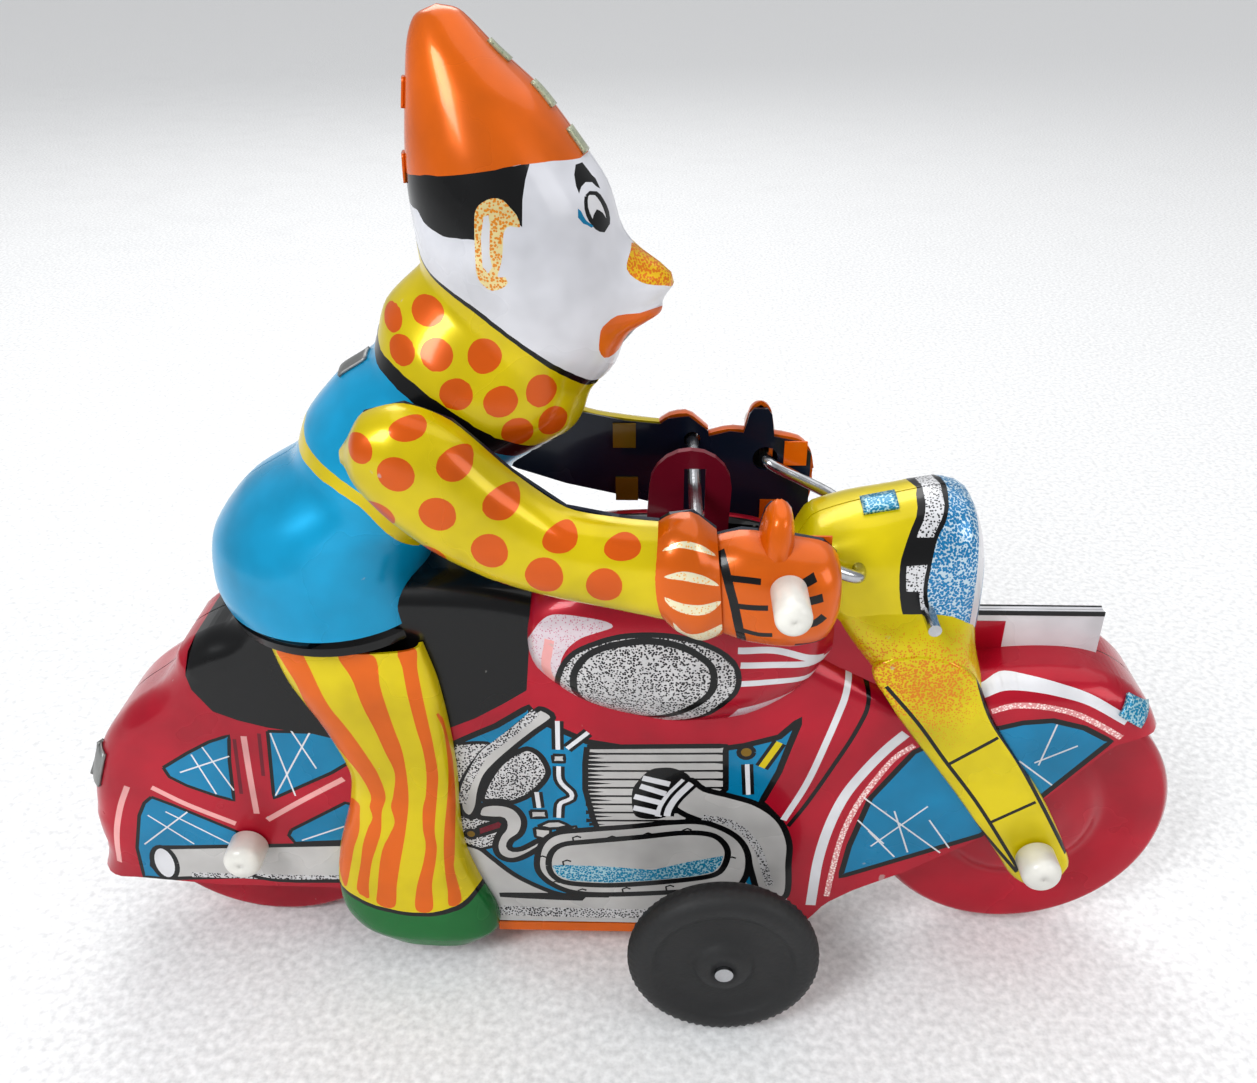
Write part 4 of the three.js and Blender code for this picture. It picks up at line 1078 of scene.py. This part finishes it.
def patch(name, form, flat_corners, colour, lift=0.35):
    """A folded tab lying on a form, between four corners on its flat plane."""
    corners = np.asarray(flat_corners, float)
    steps = 6
    grid = []
    for i in range(steps + 1):
        for j in range(steps + 1):
            a, b = i / steps, j / steps
            near = corners[0] * (1 - a) + corners[1] * a
            far = corners[3] * (1 - a) + corners[2] * a
            grid.append(near * (1 - b) + far * b)
    points, normals = form.at(np.array(grid))
    top = points + normals * lift
    row = steps + 1
    faces = [
        (i * row + j, i * row + j + 1, (i + 1) * row + j + 1, (i + 1) * row + j)
        for i in range(steps) for j in range(steps)
    ]
    count = len(points)
    ring = (
        [j for j in range(row)] + [i * row + steps for i in range(1, row)]
        + [steps * row + j for j in range(steps - 1, -1, -1)] + [i * row for i in range(steps - 1, 0, -1)]
    )
    sides = [(p, q, q + count, p + count) for p, q in zip(ring, ring[1:] + ring[:1])]
    a, b, c = top[faces[0][0]], top[faces[0][1]], top[faces[0][2]]
    if np.dot(np.cross(b - a, c - a), normals[0]) < 0:
        faces = [f[::-1] for f in faces]
    else:
        sides = [f[::-1] for f in sides]
    under = [tuple(v + count for v in f[::-1]) for f in faces]
    made = new_object(name, np.concatenate([top, points]), faces + sides + under, [INKS[colour]])
    return made


def mirrored(piece, name):
    """A copy of a piece on the other side of the seam plane."""
    twin = piece.copy()
    twin.data = piece.data.copy()
    twin.name = name
    bpy.context.scene.collection.objects.link(twin)
    coords = np.empty(len(twin.data.vertices) * 3)
    twin.data.vertices.foreach_get("co", coords)
    coords = coords.reshape(-1, 3)
    coords[:, 1] = 2 * SEAM_Y * MM - coords[:, 1]
    twin.data.vertices.foreach_set("co", coords.ravel())
    twin.data.flip_normals()
    twin.data.update()
    return twin


def add_halves(name, shells, body, node, extras=None):
    """Joins the shells of each half, rides it on its body, and hides the CAD half that it stands for."""
    halves = {"left": [], "right": []}
    for number, shell in enumerate(shells):
        left, right = both_sides(f"{name}_{number}", shell)
        halves["left"].append(left)
        halves["right"].append(right)
    for side, pieces in halves.items():
        pieces += (extras or {}).get(side, [])
        piece = joined(f"{name}_half_{side}", pieces)
        finish_piece(piece, body, [f"{node}_{side}"])


plate_edge = block("plate_edge", (44.4, 0.1, 46), (60.4, 0.75, 54.4), [INKS["white"]])
plate_face = block("plate_face", (44.3, 0.1, 46), (48, 0.85, 53), [INKS["crimson"]])
plate_line = block("plate_line", (44.4, 0.6, 53.9), (60.4, 0.82, 54.5), [INKS["black"]])
line_twin = mirrored(plate_line, "plate_line_right")
edge_twin = mirrored(plate_edge, "plate_edge_right")
face_twin = mirrored(plate_face, "plate_face_right")
guard_corners = [(62.4, 46.6), (65.6, 44.6), (64.2, 42.6), (61.2, 44.6)]
rear_corners = [(-73.6, 30.6), (-71.4, 36), (-69.6, 35.2), (-71.6, 29.8)]
guard_tab = patch("guard_tab", body_form, guard_corners, "teal_stipple", 0.5)
rear_tab = patch("rear_tab", body_form, rear_corners, "inside", 0.4)
add_halves(
    "body", [body_shell, neck_shell, tank_shell], "frame", "body",
    {
        "left": [plate_edge, plate_face, plate_line],
        "right": [
            edge_twin, face_twin, line_twin,
            mirrored(guard_tab, "guard_tab_right"), mirrored(rear_tab, "rear_tab_right"),
        ],
    },
)
for spare in (guard_tab, rear_tab):
    bpy.data.objects.remove(spare)


# ---- Fork with the headlamp ----

head_form = Loft(
    [
        (19.6, 62.6, 19.8, 64, 1.5), (20.4, 61, 20.8, 65.4, 5), (22.6, 57.6, 22.4, 68, 7),
        (27, 52.6, 27, 69.8, 8),
        (32, 48, 32, 71, 8.2), (37, 46, 37.4, 72.2, 8.2), (40.6, 46.4, 40.8, 71.2, 7.6),
        (42.8, 50, 42.6, 67, 5.6),
        (43.6, 56, 43.6, 61.6, 1.8),
    ],
    base=HALF_GAP,
    fullness=0.75,
)
shoulder_form = Loft(
    [
        (23, 58.4, 42.4, 60.4, 8), (25.4, 55.4, 43, 56, 9.3), (28.4, 51.6, 43.4, 52.6, 10),
        (31.4, 47.8, 44.4, 49, 10), (35, 43, 46.2, 44, 10),
    ],
    base=HALF_GAP,
    fullness=0.6,
)
LAMP_END = (46, 46)


def lamp_art(form):
    art = Art()
    art.fill("rim_stipple", LAMP_RIM + [LAMP_END, (46, 76)])
    for shadow in RIM_SHADOWS:
        art.fill("black", shadow)
    art.fill("lens", LAMP_LENS + [(46, 54), (46, 76)])
    art.line("black", LAMP_RIM, 0.8)
    art.line("black", LAMP_LENS, 0.5)
    # A white strip near the lamp's front edge: a painted highlight.
    art.fill("white", [(41.2, 72), (41.4, 56), (42.4, 55), (42.6, 72)])
    return on_form(form, art)


def low_shade(points):
    """Thick near the foot of the head, thinning out above it and along the blade."""
    x, z = points[:, 0], points[:, 2]
    below = np.clip((z - 36) / 12, 0, 1)
    return np.clip((60 - z) / 8, 0, 1) * below * np.clip((46 - x) / 6, 0, 1)


head_shell = printed_shell(
    head_form, loft_domain(head_form), lamp_art(head_form), 1.2, base="yellow_shaded", shade=low_shade
)
shoulder_shell = printed_shell(
    shoulder_form, loft_domain(shoulder_form), [], 1.2, base="yellow_shaded", shade=low_shade
)
blade_outline = smooth(
    [
        (30, 52), (32.4, 46.2), (42.4, 32), (49, 22.1), (52.6, 16.8), (56.6, 15.2), (59.4, 18.6),
        (58.4, 22.6),
        (53.8, 31.5), (49.3, 38.1), (45.6, 44), (42, 51), (36, 54),
    ],
    closed=True,
)
blade_art = Art()
for line in BLADE_LINES:
    blade_art.line("black", line, 0.5)
blade_shell = printed_shell(
    Dome(blade_outline, 10.05, 0.8, 0.5), blade_outline, blade_art.regions, 1.6,
    base="yellow_shaded", wall=9.0, extra=inset_points(blade_outline, (0.3, 0.8)), shade=low_shade,
)
fork_tab = patch(
    "fork_tab", head_form,
    [head_form.corner(s, u) for s, u in ((0.4, 0), (0.5, 0), (0.5, 0.1), (0.4, 0.1))],
    "teal_stipple", 0.5,
)
add_halves(
    "fork", [head_shell, shoulder_shell, blade_shell], "frame", "fork",
    {"right": [mirrored(fork_tab, "fork_tab_right")]},
)
bpy.data.objects.remove(fork_tab)


# ---- Clown ----

NOSE_HEIGHT, NOSE_REACH, NOSE_DEEP, NOSE_WIDE = 97.3, 4.9, 3.3, 3.6
LIPS_HEIGHT, LIPS_REACH, LIPS_DEEP, LIPS_WIDE = 93.4, 2.3, 1.5, 3.6


def with_nose(points):
    """Pushes the middle of the face forwards into a nose and lips."""
    x, y, z = points.T
    front = np.clip((x + 7) / 6, 0, 1)
    front = front * front * (3 - 2 * front)
    nose = NOSE_REACH * np.exp(-(((z - NOSE_HEIGHT) / NOSE_DEEP) ** 2) - (y / NOSE_WIDE) ** 2)
    lips = LIPS_REACH * np.exp(-(((z - LIPS_HEIGHT) / LIPS_DEEP) ** 2) - (y / LIPS_WIDE) ** 2)
    return np.stack([x + front * (nose + lips), y, z], 1)


rider_form = Loft(
    [
        (-19.2, 125, -19.2, 125, 0), (-21.4, 124, -16.8, 124.4, 2), (-22.4, 121.6, -13.4, 121, 4.4),
        (-23, 117, -9, 117, 6.8), (-23.5, 112, -5.2, 112, 8.8), (-23.6, 107.6, -2.2, 107.4, 10),
        (-23.3, 103.4, -0.9, 102, 10.6), (-23.1, 100.6, 0, 96, 10.4), (-23, 99.4, -1.4, 88.4, 9.8),
        (-23.6, 98.6, -4.4, 84.8, 9.6), (-27.4, 95, -6.4, 80.4, 11.4), (-29.4, 89.6, -13, 76.4, 11.8),
        (-33.4, 86.8, -14.4, 74.6, 12.2), (-38, 81.8, -17.4, 72, 12.3), (-40.4, 76.8, -20.6, 69.4, 12.4),
        (-47, 72.6, -23.4, 66.6, 13), (-51.4, 67, -25, 63.2, 13.9), (-52.2, 61, -25, 59.2, 14.2),
        (-50.6, 56.6, -24.4, 55, 14.2),
    ],
    base=HALF_GAP,
    shaped=with_nose,
)
belt_up = [(-40, 83.4)] + BELT_TOP
belt_lo = [(-41, 79.6)] + BELT_FOOT
face = Art()
face.fill("black", HAIR)
face.fill("ear", EAR, curved=True)
face.fill("white", EAR_SLOT)
face.fill("black", BROW)
face.fill("white", EYE, 0.35, curved=True)
face.fill("black", PUPIL, curved=True)
face.fill("teal", EYE_CORNER)
face.fill("orange", MOUTH, curved=True)
face.fill("dark_crimson", LOWER_LIP, curved=True)
collar = Art()
for x, z, wide, high in COLLAR_DOTS:
    collar.fill("orange_dot", oval((x, z), wide, high))
rider_regions = [zone(rider_form, "skin", HAT_BRIM)]
rider_regions += on_form(rider_form, face)
rings = len(rider_form.first) - 1
FACE_SPOTS = [  # ink, then (ring, share round the half ring) down the front of the face
    ("nose", [(6.15, 0), (6.22, 0.07), (6.45, 0.12), (6.7, 0.1), (6.82, 0.05), (6.84, 0)]),
    ("black", [(7.36, 0), (7.4, 0.05), (7.58, 0.07), (7.74, 0.04), (7.78, 0)]),
]
for colour, spots in FACE_SPOTS:
    corners = [rider_form.corner(ring / rings, u) for ring, u in spots]
    rider_regions.append((colour, smooth(corners, closed=True, step=0.5)))
rider_regions.append(zone(rider_form, "orange", None, HAT_BRIM))
rider_regions += [zone(rider_form, "yellow", COLLAR_TOP)]
rider_regions += on_form(rider_form, collar)
rider_regions += [zone(rider_form, "sky", COLLAR_FOOT)]
rider_regions.append(zone_line(rider_form, "black", COLLAR_TOP, 0.8))
rider_regions.append(zone_line(rider_form, "black", COLLAR_FOOT, 1.2))
rider_regions += [zone(rider_form, "yellow", belt_up), zone(rider_form, "sky", belt_lo)]
HIP_RIM = 1.5
rim_start = rider_form.length - HIP_RIM
hip_rim = [(rim_start, 0), (rim_start, rider_form.girth), rider_form.corner(1, 1), rider_form.corner(1, 0)]
rider_regions.append(("black", np.array(hip_rim)))
rider_shell = printed_shell(rider_form, loft_domain(rider_form), rider_regions, 0.9, base="orange")

def edge_tab(name, form, start, end, side, colour, reach=0.075):
    """A tab folded over the seam: side is 1 for the rings' first edge and 0 for the other."""
    inner = reach if side == 0 else 1 - reach
    flat = [form.corner(s, u) for s, u in ((start, side), (end, side), (end, inner), (start, inner))]
    made = patch(name, form, flat, colour)
    twin = mirrored(made, name + "_right")
    bpy.data.objects.remove(made)
    return twin


hat_tabs = [
    edge_tab("hat_tab_1", rider_form, 0.15, 0.185, 1, "orange"),
    edge_tab("hat_tab_2", rider_form, 0.235, 0.27, 1, "orange"),
    edge_tab("hat_tab_3", rider_form, 0.1, 0.13, 0, "tab"),
    edge_tab("hat_tab_4", rider_form, 0.155, 0.185, 0, "tab"),
    edge_tab("hat_tab_5", rider_form, 0.205, 0.235, 0, "tab"),
    edge_tab("back_tab", rider_form, 0.62, 0.665, 1, "inside", 0.08),
]
add_halves("rider", [rider_shell], "rider", "rider", {"right": hat_tabs})


# ---- Legs ----

LEG_MIDDLE = 9.3
LEG_REACH = 3.7
leg_form = Loft(
    [
        (-44.2, 54.7, -25.4, 54.7, LEG_REACH - 0.8), (-42.6, 49.4, -24, 49, LEG_REACH),
        (-39, 42, -23.1, 41.4, LEG_REACH), (-36.7, 35, -22.7, 34, LEG_REACH),
        (-37.4, 29.4, -22.9, 28, LEG_REACH),
        (-39.6, 22, -22.6, 21.4, LEG_REACH), (-40.7, 15.6, -21, 15.4, LEG_REACH),
        (-40.4, 10.4, -19, 10, LEG_REACH),
        (-38.4, 7, -18.8, 6.4, LEG_REACH), (-34.6, 4.8, -21.6, 4.2, LEG_REACH - 0.6),
    ],
    base=LEG_MIDDLE,
    fullness=0.7,
)
leg_art = Art()
for stripe in LEG_STRIPES:
    leg_art.fill("orange", stripe, curved=True)
leg_regions = on_form(leg_form, leg_art)
leg_regions += [zone(leg_form, "green", SHOE_TOP), zone_line(leg_form, "black", SHOE_TOP, 0.8)]
leg_shell = printed_shell(leg_form, loft_domain(leg_form), leg_regions, 1.2, base="yellow")
add_halves("leg", [leg_shell], "frame", "leg")


# ---- Arms ----

ARM_MIDDLE = 13.6
ARM_FULLNESS = 0.85


def arm_form(rings):
    return Loft(rings, base=ARM_MIDDLE, fullness=ARM_FULLNESS)


sleeve_form = arm_form(
    [
        (-31, 81, -31, 82.6, 0.4), (-30.4, 80.6, -30, 84, 1.6), (-29, 78.4, -28, 86.9, 4),
        (-26, 74.8, -23.6, 88, 5.2), (-21.4, 70.8, -18.6, 86, 5.5), (-15.6, 67.6, -12.6, 80.2, 5.4),
        (-9, 65.4, -6.8, 75.8, 5.1), (-2, 63.8, -1, 74.6, 5), (5, 62, 5, 74, 4.8),
    ]
)
cuff_form = arm_form(
    [(3.6, 63, 2.4, 73.4, 4.8), (5.4, 61, 4.6, 75, 5.6), (8.4, 59.6, 7.2, 75.3, 5.9),
        (10.8, 60.4, 9.8, 73.2, 5.2)]
)
fist_form = arm_form(
    [
        (9, 61.2, 8.2, 72, 4.4), (13.4, 59.6, 12.6, 73.2, 5.4), (18, 59.1, 17.8, 72.6, 5.9),
        (22, 60, 21.8, 71.8, 5.4), (23.5, 62.8, 23.4, 70.2, 4), (24, 65.4, 24, 67.6, 1),
    ]
)
thumb_form = arm_form(
    [(13.8, 69, 18.4, 69, 4.4), (14.4, 73, 18.4, 73, 3.8), (15, 75.6, 18, 75.6, 3),
        (15.6, 76.6, 17.4, 76.6, 1.6), (16.3, 77.1, 16.7, 77.1, 0.2)]
)
sleeve_art = Art()
for x, z, wide, high in SLEEVE_DOTS:
    sleeve_art.fill("orange_dot", oval((x, z), wide + 0.2, high + 0.1))
cuff_art = Art()
for crescent in CUFF_BANDS:
    cuff_art.fill("cream", crescent, curved=True)
fist_art = Art()
fist_art.line("black", WRIST_LINE, 1.0)
for crease in FINGER_LINES:
    fist_art.line("black", crease, 0.7)
for crease in KNUCKLE_LINES:
    fist_art.line("black", crease, 1.0)
arm_shells = [
    printed_shell(form, loft_domain(form), on_form(form, art), spacing, base=colour)
    for form, art, spacing, colour in (
        (sleeve_form, sleeve_art, 1.2, "yellow"), (cuff_form, cuff_art, 1.0, "orange"),
        (fist_form, fist_art, 1.0, "orange"), (thumb_form, Art(), 1.0, "orange"),
    )
]
# The sleeve's tabs take dull yellow, darker than the sleeve's own yellow: painted shade.
LOCK_TABS = [  # ink, x, z: the sleeve's and hand's tabs, folded over the inner plate
    ("dull_yellow", -1.2, 72.6), ("dull_yellow", -0.9, 64.8), ("orange", 18.5, 61.6),
    ("orange", 21.3, 70.2),
]
lock_tabs = {"left": [], "right": []}
for number, (colour, x, z) in enumerate(LOCK_TABS):
    tab = block(f"lock_tab_{number}", (x - 1.5, 12.45, z - 1.7), (x + 1.5, 12.75, z + 1.7), [INKS[colour]])
    lock_tabs["left"].append(tab)
    lock_tabs["right"].append(mirrored(tab, f"lock_tab_right_{number}"))
add_halves("arm", arm_shells, "arms", "arm", lock_tabs)


# ---- Wheels, caps and wires ----


def lathe(name, hub, profile, count, material, ripple=None):
    """A turned form about a cross axis at hub. Profile is a closed row of (radius, y). Ripple gives how
    much every other section's radius is changed at each profile point, for a tread."""
    rows = len(profile)
    verts = []
    for i in range(count):
        angle = 2 * math.pi * i / count
        for k, (radius, y) in enumerate(profile):
            r = radius + (ripple[k] if ripple and i % 2 else 0)
            verts.append((hub[0] + r * math.cos(angle), y, hub[1] + r * math.sin(angle)))
    faces = []
    for i in range(count):
        j = (i + 1) % count
        for k in range(rows):
            m = (k + 1) % rows
            faces.append((i * rows + k, i * rows + m, j * rows + m, j * rows + k))
    made = new_object(name, verts, faces, [material])
    middle = Vector(to_frame([(hub[0], profile[0][1], hub[1])])[0])
    if sum((p.center - middle).dot(p.normal) * p.area for p in made.data.polygons) < 0:
        made.data.flip_normals()
    return made


def disc_profile(side):
    """A wheel's closed section from the outside profile of one of its sides."""
    run = smooth(side, step=0.4).tolist()
    return run + [(r, -y) for r, y in run[::-1]]


disc_side = [
    (1.1, 4.2), (3.2, 4.2), (3.9, 3.9), (6.6, 3.3), (9.6, 2.8), (11, 2.1), (12.2, 1.7), (14, 2.0),
    (16.6, 2.6),
    (19.0, 2.7), (19.8, 2.5), (20.5, 1.6), (20.6, 0.7),
]
REAR_HUB = (-52.5, 20.6)
FRONT_HUB = (54.3, 21.7)
for name, hub in (("rear_wheel", REAR_HUB), ("front_wheel", FRONT_HUB)):
    wheel = lathe("tin_" + name, hub, disc_profile(disc_side), 96, INKS["crimson"])
    finish_piece(wheel, name, [name])

DRIVE_HUB = (12.4, 12.6)
TREADS = 68
tyre_profile = [
    (1.25, 17), (3, 17), (3.4, 18), (8.6, 18), (9.2, 18.3), (10.8, 18.15), (11.7, 18.4), (12.4, 19.1),
    (12.6, 19.9),
    (12.6, 20.3), (12.6, 20.7), (12.4, 21.5), (11.8, 22.2), (10.9, 22.5), (9.6, 22.45), (9.2, 22.1),
    (8.6, 21.7),
    (7.8, 21.5), (4.6, 21.5), (3.8, 22), (3.2, 22.8), (1.25, 22.9),
]
tread = [-0.3 if k in (7, 8, 10, 11, 12) else 0 for k in range(len(tyre_profile))]
for side, name in ((1, "left"), (-1, "right")):
    section = [(r, side * y) for r, y in tyre_profile]
    tyre = lathe("moulded_drive_wheel_" + name, DRIVE_HUB, section, 2 * TREADS, RUBBER, ripple=tread)
    finish_piece(tyre, "drive", ["drive_wheel_" + name])


def cap(name, hub, radius, start, end, body, node):
    """A soft-edged plastic cap on a wire end."""
    way = 1 if end > start else -1
    soft = radius * 0.55
    bend = [
        (radius - soft + soft * math.cos(a), end - way * soft + way * soft * math.sin(a))
        for a in np.linspace(0, math.pi / 2 - 0.1, 8)
    ]
    foot = [(0.9, start), (radius - 0.3, start), (radius, start + way * 0.3)]
    profile = foot + bend + [(0.02, end), (0.02, start + way * 2)]
    made = lathe(name, hub, profile, 40, PLASTIC)
    finish_piece(made, body, [node])


CAP_RADIUS = 2.6
CAP_LENGTH = 4.6
for end_name, hub, seat in (("rear", REAR_HUB, 9.3), ("front", FRONT_HUB, 10.3)):
    for side, name in ((1, "left"), (-1, "right")):
        node = f"{end_name}_axle_cap_{name}"
        cap("soft_" + node, hub, CAP_RADIUS, side * seat, side * (seat + CAP_LENGTH), "frame", node)
GRIP = (17.4, 69.3)
GRIP_RADIUS = 2.0
for side, name in ((1, "left"), (-1, "right")):
    node = "handlebar_grip_" + name
    cap("soft_" + node, GRIP, GRIP_RADIUS, side * 19.8, side * 26.5, "handlebar", node)


def tube(name, path, radius, material):
    """A round wire along a path in three dimensions."""
    path = np.asarray(path, float)
    ahead = np.gradient(path, axis=0)
    ahead /= np.linalg.norm(ahead, axis=1, keepdims=True)
    around = 16
    verts, faces = [], []
    across = np.array([1.0, 0, 0])
    for point, way in zip(path, ahead):
        across = across - way * np.dot(across, way)
        across /= np.linalg.norm(across)
        up = np.cross(way, across)
        for k in range(around):
            a = 2 * math.pi * k / around
            verts.append(point + radius * (math.cos(a) * across + math.sin(a) * up))
    for i in range(len(path) - 1):
        for k in range(around):
            m = (k + 1) % around
            faces.append((i * around + k, i * around + m, (i + 1) * around + m, (i + 1) * around + k))
    faces.append(tuple(range(around))[::-1])
    faces.append(tuple((len(path) - 1) * around + k for k in range(around)))
    made = new_object(name, verts, faces, [material])
    return made


half_bar = [(27, 0, 64.8), (27, 5, 64.8), (27, 9, 64.8), (25.8, 10.4, 65.4), (22, 11, 67.2),
    (18.6, 11.4, 68.8), (17.5, 12.6, 69.3), (17.4, 16, 69.3), (17.4, 25, 69.3)]
bar_points = [(x, -y, z) for x, y, z in half_bar[:0:-1]] + half_bar
handlebar = tube("bent_handlebar_wire", smooth(bar_points, step=0.5), 0.8, STEEL)
finish_piece(handlebar, "handlebar", ["handlebar"])


# ---- The CAD pieces that are shown as they are ----

carried = {
    INKS["orange"]: ["base_plate"],
    INKS["dark_crimson"]: ["rocker_lever"],
    INKS["navy"]: ["arm_plate_left", "arm_plate_right"],
    STEEL: [
        "rear_axle", "front_axle", "fork_pin", "hip_pin", "drive_axle", "shoulder_rod", "wrist_rod",
        "lever_pivot_pin", "hip_bracket", "winding_key", "mainspring",
    ],
    DARK_STEEL: [
        "motor_plate_left", "motor_plate_right", "motor_pillar_1", "motor_pillar_2", "motor_pillar_3",
        "motor_pillar_4", "middle_shaft", "spring_arbor",
    ],
    BRASS: ["drive_pinion", "middle_wheel", "great_wheel", "governor"],
}
for material, names in carried.items():
    for name in names:
        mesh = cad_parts[name].data
        mesh.materials.clear()
        mesh.materials.append(material)


# ---- Floor, light and camera ----

floor_mesh = bpy.data.meshes.new("floor")
REACH = 12.0
floor_corners = [(x * REACH, y * REACH, 0) for x, y in ((-1, -1), (1, -1), (1, 1), (-1, 1))]
floor_mesh.from_pydata(floor_corners, [], [(0, 1, 2, 3)])
floor_mesh.materials.append(plain("pale_floor", (250, 250, 250), 0.0, 0.7, grain=900, bump=0.0))
floor = bpy.data.objects.new("floor", floor_mesh)
bpy.context.scene.collection.objects.link(floor)

world = bpy.data.worlds.new("studio")
world.use_nodes = True
sky = world.node_tree.nodes["Background"]
sky.inputs["Color"].default_value = (0.95, 0.97, 1.0, 1.0)
sky.inputs["Strength"].default_value = 0.42
bpy.context.scene.world = world
bpy.context.scene.view_settings.view_transform = "Standard"


def softbox(name, place, aim, size, power, tint=(1, 1, 1)):
    light = bpy.data.lights.new(name, "AREA")
    light.shape = "RECTANGLE"
    light.size, light.size_y = size
    light.energy = power
    light.color = tint
    lamp = bpy.data.objects.new(name, light)
    lamp.location = place
    lamp.rotation_euler = (Vector(aim) - Vector(place)).to_track_quat("-Z", "Y").to_euler()
    bpy.context.scene.collection.objects.link(lamp)


MIDDLE = (0, -0.006, 0.055)
overhead = bpy.data.lights.new("overhead", "SUN")
overhead.energy = 1.1
overhead.angle = 1.2
sun = bpy.data.objects.new("overhead", overhead)
sun.rotation_euler = (-0.35, 0.25, 0)
bpy.context.scene.collection.objects.link(sun)
softbox("window", (-0.35, -0.4, 0.5), MIDDLE, (0.2, 0.3), 3.0, (0.95, 0.98, 1.0))
softbox("fill", (0.5, -0.3, 0.35), MIDDLE, (0.3, 0.3), 1.0)
softbox("back", (-0.1, 0.5, 0.5), MIDDLE, (0.4, 0.25), 1.2)

pitch, heading, roll = 0.518, -0.029, -0.005
forward = Vector((math.sin(heading) * math.cos(pitch), math.cos(heading) * math.cos(pitch), -math.sin(pitch)))
right = Vector((math.cos(heading), -math.sin(heading), 0))
up = right.cross(forward)
level_right = right * math.cos(roll) + up * math.sin(roll)
level_up = -right * math.sin(roll) + up * math.cos(roll)
lens = bpy.data.cameras.new("camera")
lens.lens = 32.75
lens.sensor_width = 36
lens.clip_start = 0.005
camera = bpy.data.objects.new("camera", lens)
place = (0.00325, -0.13037, 0.1347)
turn = [(level_right[i], level_up[i], -forward[i], place[i]) for i in range(3)]
camera.matrix_world = Matrix([*turn, (0, 0, 0, 1)])
bpy.context.scene.collection.objects.link(camera)
bpy.context.scene.camera = camera
